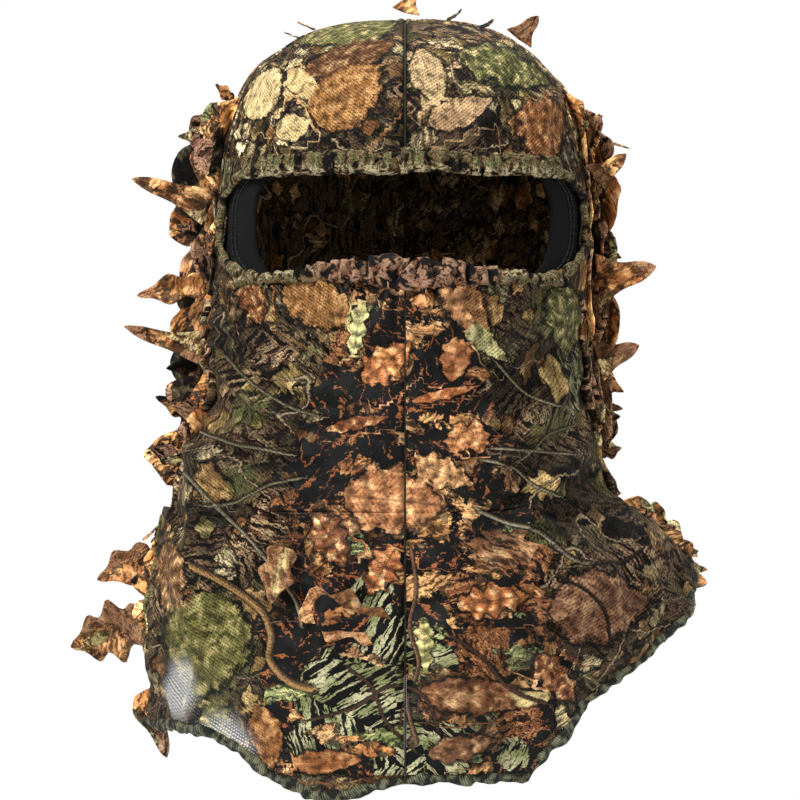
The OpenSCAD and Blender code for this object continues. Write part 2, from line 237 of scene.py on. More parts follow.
class Sock:
    """A node's output that Python's own operators work on."""
    __add__, __radd__ = operator("ADD"), operator("ADD", True)
    __sub__, __rsub__ = operator("SUBTRACT"), operator("SUBTRACT", True)
    __mul__, __rmul__ = operator("MULTIPLY"), operator("MULTIPLY", True)
    __truediv__, __pow__ = operator("DIVIDE"), operator("POWER")

    def __init__(self, tree, socket):
        self.tree, self.socket = tree, socket


class Tree:
    """A material's nodes, made by calls that take and return sockets."""
    def __init__(self, material):
        self.tree = material.node_tree
        self.tree.nodes.clear()

    def new(self, kind, **props):
        node = self.tree.nodes.new("ShaderNode" + kind)
        for k, v in props.items():
            setattr(node, k, v)
        return node

    def put(self, value, socket):
        if isinstance(value, Sock):
            self.tree.links.new(value.socket, socket)
        elif socket.type == "VECTOR":
            socket.default_value = value[:3]
        else:
            socket.default_value = value

    def out(self, node, name=0):
        return Sock(self, node.outputs[name])

    def math(self, op, a, b=0.0, c=0.0):
        node = self.new("Math", operation=op)
        for k, x in enumerate((a, b, c)):
            self.put(x, node.inputs[k])
        return self.out(node)

    def vec(self, op, a, b=(0, 0, 0), scale=None):
        node = self.new("VectorMath", operation=op)
        self.put(a, node.inputs[0])
        if scale is None:
            self.put(b, node.inputs[1])
        else:
            self.put(scale, node.inputs["Scale"])
        return self.out(node)

    def split(self, v):
        node = self.new("SeparateXYZ")
        self.put(v, node.inputs[0])
        return [self.out(node, k) for k in range(3)]

    def attribute(self, name, what="Vector"):
        return self.out(self.new("Attribute", attribute_name=name), what)

    def step(self, x, low, high):
        node = self.new("MapRange", interpolation_type="SMOOTHSTEP")
        self.put(x, node.inputs["Value"])
        self.put(low, node.inputs["From Min"])
        self.put(high, node.inputs["From Max"])
        return self.out(node)

    def fit(self, x, low, high, to_low, to_high):
        node = self.new("MapRange")
        names = ("Value", "From Min", "From Max", "To Min", "To Max")
        for name, value in zip(names, (x, low, high, to_low, to_high)):
            self.put(value, node.inputs[name])
        return self.out(node)

    def mix(self, fac, a, b, blend="MIX"):
        node = self.new("Mix", data_type="RGBA", blend_type=blend)
        self.put(fac, node.inputs[0])
        self.put(a, node.inputs[6])
        self.put(b, node.inputs[7])
        return self.out(node, 2)

    def scaled(self, colour, factor):
        return self.vec("SCALE", colour, scale=factor)

    def ramp(self, fac, stops):
        node = self.new("ValToRGB")
        elements = node.color_ramp.elements
        while len(elements) < len(stops):
            elements.new(0.5)
        for e, (place, code) in zip(elements, stops):
            e.position = place
            e.color = tint(code)
        self.put(fac, node.inputs[0])
        return self.out(node)

    def noise(self, vector, scale, detail=2.0, rough=0.5, distortion=0.0, colour=False):
        node = self.new("TexNoise", noise_dimensions="2D")
        self.put(vector, node.inputs["Vector"])
        names = ("Scale", "Detail", "Roughness", "Distortion")
        for name, value in zip(names, (scale, detail, rough, distortion)):
            node.inputs[name].default_value = value
        return self.out(node, 1 if colour else 0)

    def rotate(self, vector, angle):
        node = self.new("VectorRotate", rotation_type="Z_AXIS")
        self.put(vector, node.inputs["Vector"])
        self.put(angle, node.inputs["Angle"])
        return self.out(node)

    def stretch(self, vector, scale, shift=(0, 0, 0)):
        return self.vec("ADD", self.vec("MULTIPLY", vector, scale), shift)


FULL_TURN = 6.283


def tint(code):
    """A colour from a hexadecimal web code, as linear light."""
    rgb = [int(code[k:k + 2], 16) / 255 for k in (0, 2, 4)]
    return tuple((c / 12.92 if c <= 0.04045 else ((c + 0.055) / 1.055) ** 2.4) for c in rgb) + (1.0,)


def evenly(codes):
    return [(k / (len(codes) - 1), code) for k, code in enumerate(codes)]


LITTER = ("1c140e", "74573a", "a78d60", "3a2a1d", "cdb98d", "62482a", "857a55", "d6c69c", "2a2018", "987548")
LEAVES = ("96693a", "6b4a28", "a88450", "7c6e42", "b09660", "7d5a32", "5f5a35", "8c7050")
RUSTS = ("b27a3c", "8a5a28", "c4955a", "9c6a30", "bd9362", "7a4e23", "a67c58", "cfa268")
GREENS = ("66742f", "4c5a26", "7d8a44", "5f6e33", "8f9658")
GRASS = ("b4b083", "8b9060", "cfcaa4", "7d8450")


def leaf_layer(t, p, under, grain, cell, seed, fill, zones, size, wide, lobes, veins, to_green, to_rust,
               gain=1.0):
    """Leaves strewn over the print, one to a cell, each with its own turn, tone, midrib and veins.
    size is a leaf's length as a share of the cell, wide its half width as a share of that."""
    node = t.new("TexVoronoi", voronoi_dimensions="2D")
    q = t.vec("ADD", p, (seed * 17.3, seed * 9.1, 0))
    t.put(q, node.inputs["Vector"])
    node.inputs["Scale"].default_value = 1 / cell
    node.inputs["Randomness"].default_value = 0.85
    r1, r2, r3 = t.split(t.out(node, "Color"))
    local = t.rotate(t.vec("SUBTRACT", q, t.out(node, "Position")), r1 * FULL_TURN)
    x, y, _ = t.split(local)
    along = t.math("MULTIPLY_ADD", x, 1 / (cell * size), 0.5)
    off = t.math("ABSOLUTE", y) * (1 / (cell * size))
    inside = t.math("MINIMUM", t.math("MAXIMUM", along, 0.0), 1.0)
    lobed = 0.8 + 0.2 * t.math("COSINE", inside * (2 * math.pi * lobes))
    width = t.math("SINE", inside ** 0.8 * math.pi) * lobed
    edge = wide * width - off
    there = t.math("LESS_THAN", r2, fill)
    body = t.step(edge, 0.0, 0.02) * there
    shade = t.step(edge, -0.11, 0.0) * there * 0.8
    vein = t.math("ABSOLUTE", t.math("FRACT", (along - off * 0.8) * veins) - 0.5)
    lines = t.math("MAXIMUM", (1.0 - t.step(vein, 0.02, 0.14)) * 0.6, 1.0 - t.step(off, 0.006, 0.022))
    tone = t.ramp(r3, evenly(LEAVES))
    green, rust, _ = zones
    tone = t.mix(green * to_green, tone, t.ramp(r3, evenly(GREENS)))
    tone = t.mix(rust * to_rust, tone, t.ramp(r3, evenly(RUSTS)))
    leaf = weathered(t, tone, grain, lines, t.step(edge, 0.0, 0.07), gain)
    return t.mix(body, t.scaled(under, 1.0 - shade), leaf), body


def weathered(t, tone, grain, lines, inner, gain=1.0, vary=1.5, blotch=0.5):
    """A leaf's own colouring: dark rim and veins, dark specks, pale highlights and soft patches."""
    specks = t.step(grain, 0.36, 0.41)
    soft = t.noise(t.attribute("cloth"), 0.13, 2.0, 0.55)
    level = (0.22 + 0.78 * specks) * (0.25 + 0.75 * inner) * (1.0 - 0.6 * lines)
    level = level * (1.0 - 0.5 * vary + vary * soft) * gain
    light = t.step(soft, 0.46, 0.70) * blotch * inner
    bright = t.mix(0.55, t.scaled(tone, 2.0), tint("e6d2a0"))
    return t.scaled(t.mix(light, tone, bright), level)


def torn_layer(t, p, under, grain, cell, seed, fill, palette, ragged, stretch, gain=1.0):
    """Torn scraps with ragged outlines and holes. fill may be a share or a socket."""
    q = t.stretch(p, (stretch[0] / cell, stretch[1] / cell, 1), (seed * 3.7, seed * 5.3, 0))
    cells = t.new("TexVoronoi", voronoi_dimensions="2D")
    rims = t.new("TexVoronoi", voronoi_dimensions="2D", feature="DISTANCE_TO_EDGE")
    for node in (cells, rims):
        t.put(q, node.inputs["Vector"])
        node.inputs["Scale"].default_value = 1.0
    r1, r2, r3 = t.split(t.out(cells, "Color"))
    edge = t.out(rims, "Distance") + t.fit(ragged, 0.3, 0.7, -0.2, 0.2)
    there = t.math("LESS_THAN", r2, fill)
    body = t.step(edge, 0.05, 0.075) * there
    turned = t.rotate(t.vec("SUBTRACT", p, (40, 40, 0)), r1 * FULL_TURN)
    streak = t.noise(t.stretch(turned, (0.12, 0.8, 1)), 1.0, 1.0)
    level = t.step(streak, 0.36, 0.6)
    tone = t.scaled(t.ramp(r3, evenly(palette)), 0.45 + 0.8 * level)
    scrap = weathered(t, tone, grain, 0.7 - 0.7 * level, t.step(edge, 0.05, 0.16), gain)
    return t.mix(body, t.scaled(under, 1.0 - there * 0.7), scrap), body


def stamp_layer(t, under, grain):
    """The listed large leaves: stamp holds a place along and across each one."""
    x, y, on = t.split(t.attribute("stamp"))
    tone = t.vec("MULTIPLY", t.attribute("stamp_tone", "Color"), (1.0, 0.95, 0.76))
    ribbed = t.attribute("stamp_lobe", "Fac")
    inside = t.math("MINIMUM", t.math("MAXIMUM", x, 0.0), 1.0)
    off = t.math("ABSOLUTE", y)
    lobes = 1.0 - 0.26 * ribbed * (1.0 - t.math("COSINE", inside * 25.0))
    width = t.math("SINE", inside ** 0.75 * math.pi) ** 0.7 * lobes
    frayed = t.fit(t.noise(t.attribute("cloth"), 0.22, 3.0, 0.7), 0.3, 0.7, -0.13, 0.13)
    edge = width - off + t.fit(grain, 0.2, 0.8, -0.07, 0.07) + frayed
    body = t.step(edge, 0.0, 0.05) * on
    shade = t.step(edge, -0.24, 0.0) * on * 0.85
    mottle = t.noise(t.attribute("cloth"), 0.26, 3.0, 0.66)
    gap = t.math("ABSOLUTE", t.math("FRACT", (x + off * off * 0.16) * 5.5 + mottle * 0.5) - 0.5)
    ribs = (1.0 - t.step(gap, 0.02, 0.16)) * ribbed
    hair = t.math("ABSOLUTE", t.math("FRACT", (x - off * 0.3) * 19.0) - 0.5)
    lines = t.math("MAXIMUM", ribs * 0.8, (1.0 - t.step(off, 0.01, 0.06)) * (0.3 + 0.7 * ribbed))
    lines = t.math("MAXIMUM", lines, (1.0 - t.step(hair, 0.05, 0.2)) * 0.45)
    swell = (0.85 + 0.7 * ribbed * t.step(gap, 0.1, 0.5)) * (0.55 + 0.5 * t.step(mottle, 0.36, 0.47))
    tone = t.mix(t.step(mottle, 0.54, 0.66) * (0.08 + 0.75 * ribbed), tone, tint("e2c592"))
    leaf = weathered(t, tone, grain, lines, t.step(edge, 0.0, 0.16), 1.15, 0.8, 0.3)
    return t.mix(body, t.scaled(under, 1.0 - shade), t.scaled(leaf, swell)), body


def twig_layer(t, under, grain):
    """The listed branches: twig holds the distance across, the half width and where it counts."""
    across, half, on = t.split(t.attribute("twig"))
    reach = t.math("ABSOLUTE", across) / t.math("MAXIMUM", half, 0.1) + t.fit(grain, 0.2, 0.8, -0.6, 0.6)
    count = t.math("GREATER_THAN", on, 0.5)
    body = (1.0 - t.step(reach, 0.85, 1.0)) * count
    shade = (1.0 - t.step(reach, 1.0, 1.7)) * count * 0.8
    lit = t.step(across / t.math("MAXIMUM", half, 0.1), -0.9, 0.7)
    bark = t.mix(lit, tint("4a3a2b"), t.attribute("twig_tone", "Color"))
    bark = t.scaled(bark, 0.45 + 0.75 * t.step(grain, 0.34, 0.6))
    return t.mix(body, t.scaled(under, 1.0 - shade), bark), body


def turned_cells(t, p, cell, seed):
    """Coordinates that turn to a new direction from patch to patch."""
    node = t.new("TexVoronoi", voronoi_dimensions="2D")
    q = t.vec("ADD", p, (seed * 7.3, seed * 13.1, 0))
    t.put(q, node.inputs["Vector"])
    node.inputs["Scale"].default_value = 1 / cell
    r1, r2, _ = t.split(t.out(node, "Color"))
    local = t.rotate(t.vec("SUBTRACT", q, t.out(node, "Position")), r1 * FULL_TURN)
    return t.vec("ADD", local, t.vec("SCALE", t.out(node, "Color"), scale=160.0)), r2


def contrast(t, colour):
    """Deepens the darks of a print and keeps its lights."""
    power = t.new("Gamma")
    t.put(colour, power.inputs["Color"])
    power.inputs["Gamma"].default_value = 1.3
    softer = t.new("HueSaturation")
    t.put(t.out(power), softer.inputs["Color"])
    softer.inputs["Saturation"].default_value = 0.93
    softer.inputs["Value"].default_value = 1.75
    return t.out(softer)


def start_print(t, wander):
    """What a print starts from: the place on the cloth, the warp and the warped place, fine grain and a
    ragged noise for torn edges."""
    cloth = t.attribute("cloth")
    warp = t.noise(cloth, 0.2, 3.0, 0.68, colour=True)
    p = t.vec("ADD", cloth, t.vec("SCALE", t.vec("SUBTRACT", warp, (0.5, 0.5, 0.5)), scale=wander))
    return cloth, warp, p, t.noise(cloth, 0.85, 4.0, 0.8), t.noise(cloth, 0.27, 5.0, 0.72)


def camo(t, satin=False):
    """The printed pattern: bark and litter, grass, twigs and leaves in layers. Returns its colour, its
    relief, the place on the cloth and the grain."""
    zones = t.split(t.attribute("zone"))
    green, rust, grass = zones
    cream_and_painted_light, bark_on, dark = t.split(t.attribute("zone_two"))
    cloth, warp, p, grain, ragged = start_print(t, 6.0 if satin else 4.5)
    turned, fate = turned_cells(t, p, 26.0, 3.0)
    streak = t.noise(t.stretch(turned, (0.07, 0.5, 1)), 1.0, 3.0, 0.62)
    pits = t.step(grain, 0.38, 0.47)
    bark = t.ramp(streak, [(0.34, "0b0a08"), (0.43, "2b1d14"), (0.49, "6a4a33"),
                           (0.55, "a98b6c"), (0.61, "c9b58c"), (0.66, "3a281c")])
    bark = t.scaled(bark, 0.3 + 0.85 * pits)
    bent, _ = turned_cells(t, t.vec("ADD", cloth, t.vec("SCALE", warp, scale=2.0)), 30.0, 5.0)
    blade = t.noise(t.stretch(bent, (0.33, 0.04, 1), (31, 7, 0)), 1.0, 3.0, 0.6)
    strokes = t.step(blade, 0.48, 0.495) * (1.0 - t.step(blade, 0.60, 0.615))
    khaki = t.scaled(t.ramp(t.noise(p, 0.09, 1.0), evenly(GRASS)), 0.3 + 0.62 * pits)
    meadow = t.mix(strokes, tint("0e0f0b"), khaki)
    if satin:
        ground = t.scaled(tint("1d1c1b"), 0.8 + 0.4 * grain)
        bars = t.step(streak, 0.60, 0.62) * t.step(ragged, 0.42, 0.48)
        ground = t.mix(bars, ground, t.scaled(tint("96602f"), 0.4 + 0.9 * pits))
        wood = t.ramp(streak, [(0.36, "14100c"), (0.44, "5a3a20"), (0.50, "a06c3c"), (0.55, "c2935c"),
                               (0.58, "2a1c12"), (0.64, "8c5a30")])
        wood = t.scaled(wood, 0.3 + 0.85 * pits)
        ground = t.mix(t.step(bark_on + (ragged - 0.5), 0.45, 0.55), ground, wood)
        ground = t.mix(t.step(grass + (ragged - 0.5) * 0.8, 0.4, 0.5), ground, meadow)
        keep = 1.0 - 0.85 * t.math("MAXIMUM", grass, bark_on)
        fill = (0.22 + 0.2 * rust) * keep
        colour, low = torn_layer(t, p, ground, grain, 8.0, 2.0, fill, RUSTS, ragged, (0.6, 1.25))
        fill = (0.22 + 0.32 * rust) * keep
        colour, high = torn_layer(t, p, colour, grain, 18.0, 5.0, fill, RUSTS, ragged, (0.8, 1.15), 1.1)
        sprigs = ("9aa06a", "b4b985", "848c58")
        fill = 0.05 + 0.3 * green
        colour, pale = torn_layer(t, p, colour, grain, 13.0, 9.0, fill, sprigs, ragged, (0.5, 1.5))
        colour = t.scaled(colour, 1.0 - 0.5 * dark)
        high = t.math("MAXIMUM", high, pale)
    else:
        gloom = t.ramp(streak, [(0.4, "12100d"), (0.47, "3b2c1f"), (0.53, "7a654c"), (0.56, "1a1510"),
                                (0.62, "6a5a40")])
        # the cream zone lightens the ground and the scraps: partly print, partly painted light on the crown
        ground = t.scaled(t.mix(bark_on, t.scaled(gloom, 0.35 + 0.8 * pits), bark), 1.12 + 0.5 * cream_and_painted_light)
        fill, gain = 0.36 + 0.5 * cream_and_painted_light, 0.74 + 0.85 * cream_and_painted_light
        colour, low = torn_layer(t, p, ground, grain, 10.0, 2.0, fill, LITTER, ragged, (0.85, 1.15), gain)
        wild = t.math("LESS_THAN", fate, 0.05) * 0.95
        grassy = t.step(grass + (ragged - 0.5) * 0.8, 0.4, 0.5)
        colour = t.mix(t.math("MAXIMUM", grassy, wild), colour, meadow)
        moss = t.step(ragged, 0.46, 0.5)
        colour = t.mix(green * moss, colour, t.scaled(tint("7d8052"), 0.3 + 0.85 * pits))
        colour = t.scaled(colour, 1.0 - 0.55 * dark)
        colour, few = leaf_layer(t, p, colour, grain, 15.0, 4.0, 0.34, zones, 0.8, 0.36, 2.0, 5.0,
                                 0.9, 0.7, 1.05)
        colour, mid = leaf_layer(t, p, colour, grain, 25.0, 7.0, 0.40, zones, 0.78, 0.4, 3.0, 6.0,
                                 0.9, 0.7, 1.1)
        twig = t.math("ABSOLUTE", t.noise(t.stretch(p, (1, 1, 1), (11, 53, 0)), 0.017, 1.0, 0.45, 0.6) - 0.5)
        branch = (1.0 - t.step(twig, 0.006, 0.012)) * t.math("LESS_THAN", cream_and_painted_light, 0.3)
        bough = t.scaled(tint("a8977a"), 0.45 + 0.75 * pits)
        bough = t.mix(1.0 - t.step(twig, 0.0, 0.008), tint("2a1f16"), bough)
        colour = t.mix(branch, colour, bough)
        colour, high = leaf_layer(t, p, colour, grain, 42.0, 11.0, 0.24, zones, 0.62, 0.36, 2.0, 9.0,
                                  1.0, 0.8)
        high = t.math("MAXIMUM", high, t.math("MAXIMUM", few, mid))
    colour, top = stamp_layer(t, colour, grain)
    colour, limb = twig_layer(t, colour, grain)
    high = t.math("MAXIMUM", high, t.math("MAXIMUM", top, limb))
    return contrast(t, colour), low * 0.5 + high + 0.5 * grain, cloth, grain


def finish_cloth(name, build):
    """A material whose surface the function build lays out."""
    material = bpy.data.materials.new(name)
    material.use_nodes = True
    t = Tree(material)
    bsdf = t.new("BsdfPrincipled")
    build(t, bsdf)
    t.put(t.out(bsdf), t.new("OutputMaterial").inputs[0])
    return material


def bump(t, bsdf, relief, distance=0.0004, strength=0.6):
    node = t.new("Bump")
    node.inputs["Strength"].default_value = strength
    node.inputs["Distance"].default_value = distance
    t.put(relief, node.inputs["Height"])
    t.put(t.out(node), bsdf.inputs["Normal"])


def dull(bsdf, sheen, specular):
    bsdf.inputs["Sheen Weight"].default_value = sheen
    bsdf.inputs["Specular IOR Level"].default_value = specular


MESH_PITCH = 1.25      # from one hole of the mesh to the next


def knit(t, cloth):
    """Fine knitted mesh: slanted zigzag ribs with rows of small holes between them. 1 is thread, 0 a hole."""
    u, v, _ = t.split(cloth)
    k = 2 * math.pi / MESH_PITCH
    zigzag = t.math("SINE", u * (k * 0.62)) * 0.55
    rib = t.math("SINE", v * (k * 0.82) + t.math("ABSOLUTE", u) * (k * 0.5) + zigzag) * 0.5 + 0.5
    row = t.math("SINE", u * k + v * (k * 0.3)) * 0.5 + 0.5
    return t.math("MAXIMUM", rib, row * 0.7)


def mesh_cloth(t, bsdf):
    """Printed mesh that the light shows through, more where sheer is higher."""
    colour, relief, cloth, grain = camo(t)
    thread = knit(t, cloth)
    # painted shade: the colour is darker in the knit's holes and lighter on the threads
    shaded = t.scaled(colour, 0.55 + 0.6 * t.step(thread, 0.15, 0.95))
    t.put(shaded, bsdf.inputs["Base Color"])
    t.put(t.fit(grain, 0.2, 0.8, 0.62, 0.82), bsdf.inputs["Roughness"])
    dull(bsdf, 0.03, 0.2)
    see = t.math("MAXIMUM", t.attribute("sheer", "Fac"), 0.0)
    t.put(1.0 - (1.0 - t.step(thread, 0.25, 0.62)) * (0.06 + 0.79 * see) - see * 0.5, bsdf.inputs["Alpha"])
    bump(t, bsdf, thread + relief * 0.4, 0.0003, 0.5)


def satin_cloth(t, bsdf):
    """The printed satin of the strips beside the centre seam."""
    colour, relief, cloth, grain = camo(t, satin=True)
    u, v, _ = t.split(cloth)
    weave = t.math("SINE", (u + v) * 14.0) * t.math("SINE", (u - v) * 14.0)
    t.put(colour, bsdf.inputs["Base Color"])
    t.put(t.fit(grain, 0.2, 0.8, 0.42, 0.6), bsdf.inputs["Roughness"])
    dull(bsdf, 0.01, 0.22)
    bump(t, bsdf, weave * 0.2 + relief, 0.00025, 0.4)


def leaf_cloth(t, bsdf):
    """The cut leaves: streaked bark and leaf print in pinkish brown, tan and rust, edged with black."""
    cloth, _, p, grain, ragged = start_print(t, 5.0)
    turned, fate = turned_cells(t, p, 21.0, 3.0)
    streak = t.noise(t.stretch(turned, (0.05, 0.42, 1)), 1.0, 3.0, 0.6)
    specks = t.step(grain, 0.38, 0.44)
    bark = t.ramp(streak, [(0.33, "15110e"), (0.41, "5d4334"), (0.48, "95735c"), (0.53, "b3957a"),
                           (0.57, "3a2b22"), (0.61, "8f6c54"), (0.70, "c2a784")])
    ground = t.scaled(bark, 0.4 + 1.0 * specks)
    ground = t.mix(t.math("LESS_THAN", fate, 0.09), ground, t.scaled(tint("26221e"), 0.8 + 0.4 * grain))
    colour, low = torn_layer(t, p, ground, grain, 19.0, 5.0, 0.56, RUSTS, ragged, (0.8, 1.15), 1.5)
    dark, pale = ("241f1b", "2f2a26", "262019"), ("9c9a6a", "d2c79a", "7f8350")
    colour, _ = torn_layer(t, p, colour, grain, 14.0, 8.0, 0.16, dark, ragged, (0.6, 1.3), 0.8)
    colour, _ = torn_layer(t, p, colour, grain, 9.0, 9.0, 0.10, pale, ragged, (0.5, 1.5), 1.1)
    along, across, _ = t.split(t.attribute("rib"))
    off = t.math("ABSOLUTE", across)
    gap = t.math("ABSOLUTE", t.math("FRACT", (along - off * 0.22) * 6.0) - 0.5)
    lines = t.math("MAXIMUM", (1.0 - t.step(gap, 0.02, 0.12)) * 0.7, 1.0 - t.step(off, 0.03, 0.12))
    rusty = t.mix(t.step(ragged, 0.42, 0.6), tint("86562a"), tint("b98443"))
    rust_leaf = weathered(t, rusty, grain, lines, 1.0, 1.15)
    colour = t.mix(t.attribute("plain", "Fac"), colour, rust_leaf)
    u, v, _ = t.split(cloth)
    weave = t.math("SINE", (u + v) * 12.0) * t.math("SINE", (u - v) * 12.0)
    # shade is painted shade, darker at a strip's sewn root, times a random tone for each piece
    shade = t.attribute("shade", "Fac")
    t.put(t.scaled(contrast(t, colour), shade), bsdf.inputs["Base Color"])
    t.put(t.fit(grain, 0.2, 0.8, 0.5, 0.7), bsdf.inputs["Roughness"])
    dull(bsdf, 0.02, 0.22)
    bump(t, bsdf, weave * 0.25 + low + grain * 0.5, 0.0003, 0.4)


def ruffle_cloth(t, bsdf):
    """The casings: print behind, a pale fray at the free edge and pinkish cloth where it is gathered."""
    cloth = t.attribute("cloth")
    grain = t.noise(cloth, 0.85, 4.0, 0.8)
    mottle = t.noise(cloth, 0.12, 5.0, 0.74)
    patchy = t.ramp(mottle, [(0.40, "0c0b0a"), (0.46, "241a12"), (0.50, "8d744c"), (0.55, "e0d3ac"),
                             (0.60, "b39a6c"), (0.64, "2a2018")])
    fine = 0.35 + 0.85 * t.step(grain, 0.38, 0.5)
    printed = t.ramp(mottle, [(0.40, "0c0b0a"), (0.45, "4a3a28"), (0.50, "a98e60"), (0.54, "1a1611"),
                             (0.59, "9a9a66"), (0.64, "5a4a34")])
    fray = t.step(t.attribute("fringe", "Fac") + (grain - 0.5) * 3.0, 0.0, 0.4)
    patchy = t.mix(fray, printed, patchy)
    gathered = t.attribute("gathered", "Fac")
    pinkish = t.ramp(mottle, [(0.38, "171616"), (0.46, "1f1c1b"), (0.49, "94684c"), (0.56, "c9a082"),
                              (0.62, "9a745c"), (0.66, "3a2a25")])
    colour = t.mix(gathered, t.scaled(patchy, fine), t.scaled(pinkish, 0.5 + 0.6 * fine))
    t.put(colour, bsdf.inputs["Base Color"])
    bsdf.inputs["Roughness"].default_value = 0.7
    dull(bsdf, 0.02, 0.2)
    bump(t, bsdf, mottle + grain, 0.0008, 0.7)


def liner_cloth(t, bsdf):
    """Black ribbed stretch knit."""
    cloth = t.attribute("cloth")
    u, v, _ = t.split(cloth)
    wales = t.math("SINE", u * 7.5 + t.math("SINE", v * 9.0) * 0.5)
    grain = t.noise(cloth, 0.6, 2.0)
    black = t.mix(grain, tint("08090a"), tint("18191a"))
    # painted shade: the knit is darker in the grooves between its wales
    t.put(t.scaled(black, 0.8 + 0.2 * wales), bsdf.inputs["Base Color"])
    bsdf.inputs["Roughness"].default_value = 0.85
    dull(bsdf, 0.03, 0.2)
    bump(t, bsdf, wales, 0.0003, 0.7)


def thread_cloth(dark, light, pitch):
    """Twisted sewing thread between two tones, with a ply of that pitch."""
    def build(t, bsdf):
        cloth = t.attribute("cloth")
        u, v, _ = t.split(cloth)
        ply = t.math("SINE", u * (FULL_TURN / pitch) + v * 2.2)
        mottle = t.noise(cloth, 0.25, 3.0)
        base = t.ramp(mottle, [(0.42, dark), (0.66, light)])
        # painted shade: the thread is darker in the grooves between its plies
        t.put(t.scaled(base, 0.75 + 0.35 * ply), bsdf.inputs["Base Color"])
        bsdf.inputs["Roughness"].default_value = 0.7
        bsdf.inputs["Sheen Weight"].default_value = 0.05
        bump(t, bsdf, ply, 0.0004, 0.8)
    return build


MATERIALS = {name: finish_cloth(name, build) for name, build in (
    ("mesh_camo", mesh_cloth), ("satin_camo", satin_cloth), ("leaf_cloth", leaf_cloth),
    ("ruffle_camo", ruffle_cloth), ("liner_black", liner_cloth),
    ("seam_thread", thread_cloth("1c2015", "3d452c", 1.0)),
    ("hem_thread", thread_cloth("18200f", "a9a983", 1.1)),
    ("stitch_grey", thread_cloth("3a3b3a", "6a6b68", 0.8)))}

# ---------------------------------------------------------------- the print's regions
# Each spot is [x, z, radius] in millimetres, on the front of the cloth.
SPOTS = {
    "green": [(-24, 86, 12), (46, 66, 14), (66, -38, 12), (-84, -190, 18), (54, -140, 12), (-66, -82, 9),
              (62, -88, 8), (-20, -140, 7), (-70, -112, 8), (10, -172, 10), (46, -178, 12), (-20, -46, 6),
              (30, -226, 10), (-44, -232, 9)],
    "rust": [(48, 42, 14), (-64, -28, 12), (-38, -36, 14), (0, -112, 30), (-6, -60, 14), (24, -60, 12),
             (-30, -130, 20), (0, -142, 20), (32, -168, 14), (40, -200, 20), (22, -112, 16),
             (60, -176, 12)],
    "grass": [(-23, -206, 27), (-6, -178, 13), (8, -215, 16), (-40, -225, 12), (28, -212, 12),
              (18, -228, 12), (-14, -160, 10), (12, -190, 12), (46, -228, 8), (-2, -232, 14)],
    # cream is print, and on the crown it is also painted light: its crown-left spots are a painted highlight
    # from the upper left
    "cream_and_painted_light": [(-53, 51, 24), (-30, 74, 12), (-66, 36, 12), (30, 58, 16), (-72, -32, 9), (-36, -196, 8),
              (66, -210, 10)],
    "bark": [(18, 60, 26), (62, 46, 14), (70, -156, 26), (-28, -50, 14), (-60, -66, 20), (-70, -96, 18),
             (64, -84, 20), (34, -186, 16), (46, -214, 14), (26, -158, 10), (-64, -130, 22),
             (-100, -160, 18), (96, -150, 20)],
    "dark": [(84, -150, 22), (96, -136, 14), (66, -128, 14), (76, -176, 14), (0, 39, 10), (18, 41, 10),
             (-16, 39, 8), (36, 41, 10), (-34, 36, 7), (54, 38, 8), (40, 54, 9), (-72, -50, 16),
             (52, -70, 20), (58, -112, 22), (-60, -98, 22), (-50, -146, 18), (40, -130, 14), (70, -200, 9),
             (-84, -130, 12), (56, -190, 22), (34, -222, 14)]}

# Large leaves: [x, z of the stalk, heading in degrees, length, half width, tone, how lobed]
STAMPS = [
    (-38, 42, 48, 40, 15, "a87c44", 0.15), (-4, 88, 190, 46, 8, "7c7d54", 0.3),
    # the pale cream leaves at the crown's left are partly print and partly a painted highlight, the light
    # from the upper left
    (-4, 79, 200, 48, 7, "7a5330", 0.2), (-68, 46, 60, 26, 8, "e6d3ae", 0),
    (-52, 66, -40, 20, 6, "dcc59c", 0), (-56, 38, 20, 16, 6, "e4d0a8", 0),
    (24, 73, -16, 42, 10, "70734c", 0.5), (58, 56, -84, 32, 12, "99683a", 0.3),
    (6, 74, -70, 26, 8, "c6b093", 0.1), (10, 42, 20, 30, 7, "bda186", 0.1),
    (-52, -27, -30, 34, 12, "a87f4c", 0.2), (-70, -24, -70, 22, 7, "8c5d34", 0.6),
    (68, -26, -84, 32, 10, "6d7050", 0.4), (-14, -22, -20, 24, 8, "94705c", 0.4),
    (17, -21, -60, 36, 9.5, "ad835e", 0.2), (23, -42, -42, 28, 5, "b0b08c", 0.2),
    (-18, -34, -100, 26, 5, "b9b996", 0.8), (-18, -69, 39, 27, 9, "ba7f48", 0.6),
    (23, -50, -100, 20, 7, "ad7547", 0.3), (3, -78, 14, 30, 2.6, "ac6c38", 0.4),
    (-34, -90, 12, 28, 3.4, "8c5c38", 0.5), (20, -100, 70, 15, 5.5, "bd875a", 0.5),
    (32, -100, 100, 15, 5.5, "b3794c", 0.5), (-26, -118, -6, 44, 17, "ae7d55", 0.5),
    (3, -103, -22, 28, 8, "b8906a", 0.6), (-38, -126, -60, 26, 9, "8a5c3c", 0.7),
    (-82, -161, -102, 46, 21, "7b7a4e", 0.12), (-84, -208, -70, 20, 8, "7a7b54", 0.5),
    (-62, -208, -80, 28, 8, "9c6d3a", 0.2), (-48, -232, 4, 30, 6, "a06c38", 0.2),
    (6, -202, -3, 52, 8, "80583a", 0.2), (42, -206, 8, 22, 3.5, "c4b78e", 0),
    (22, -165, 8, 32, 8, "a9713f", 0.7), (56, -186, -50, 26, 8, "8c5c3a", 0.6),
    (62, -168, 4, 44, 15, "83604e", 0.1), (10, -228, 12, 30, 6, "7c5a40", 0.3),
    (8, -170, -88, 24, 5, "98986c", 0.7), (-104, -140, -85, 34, 9, "8c6a4a", 0.5),
    (-4, -140, -120, 24, 8, "a56c3e", 0.7)]

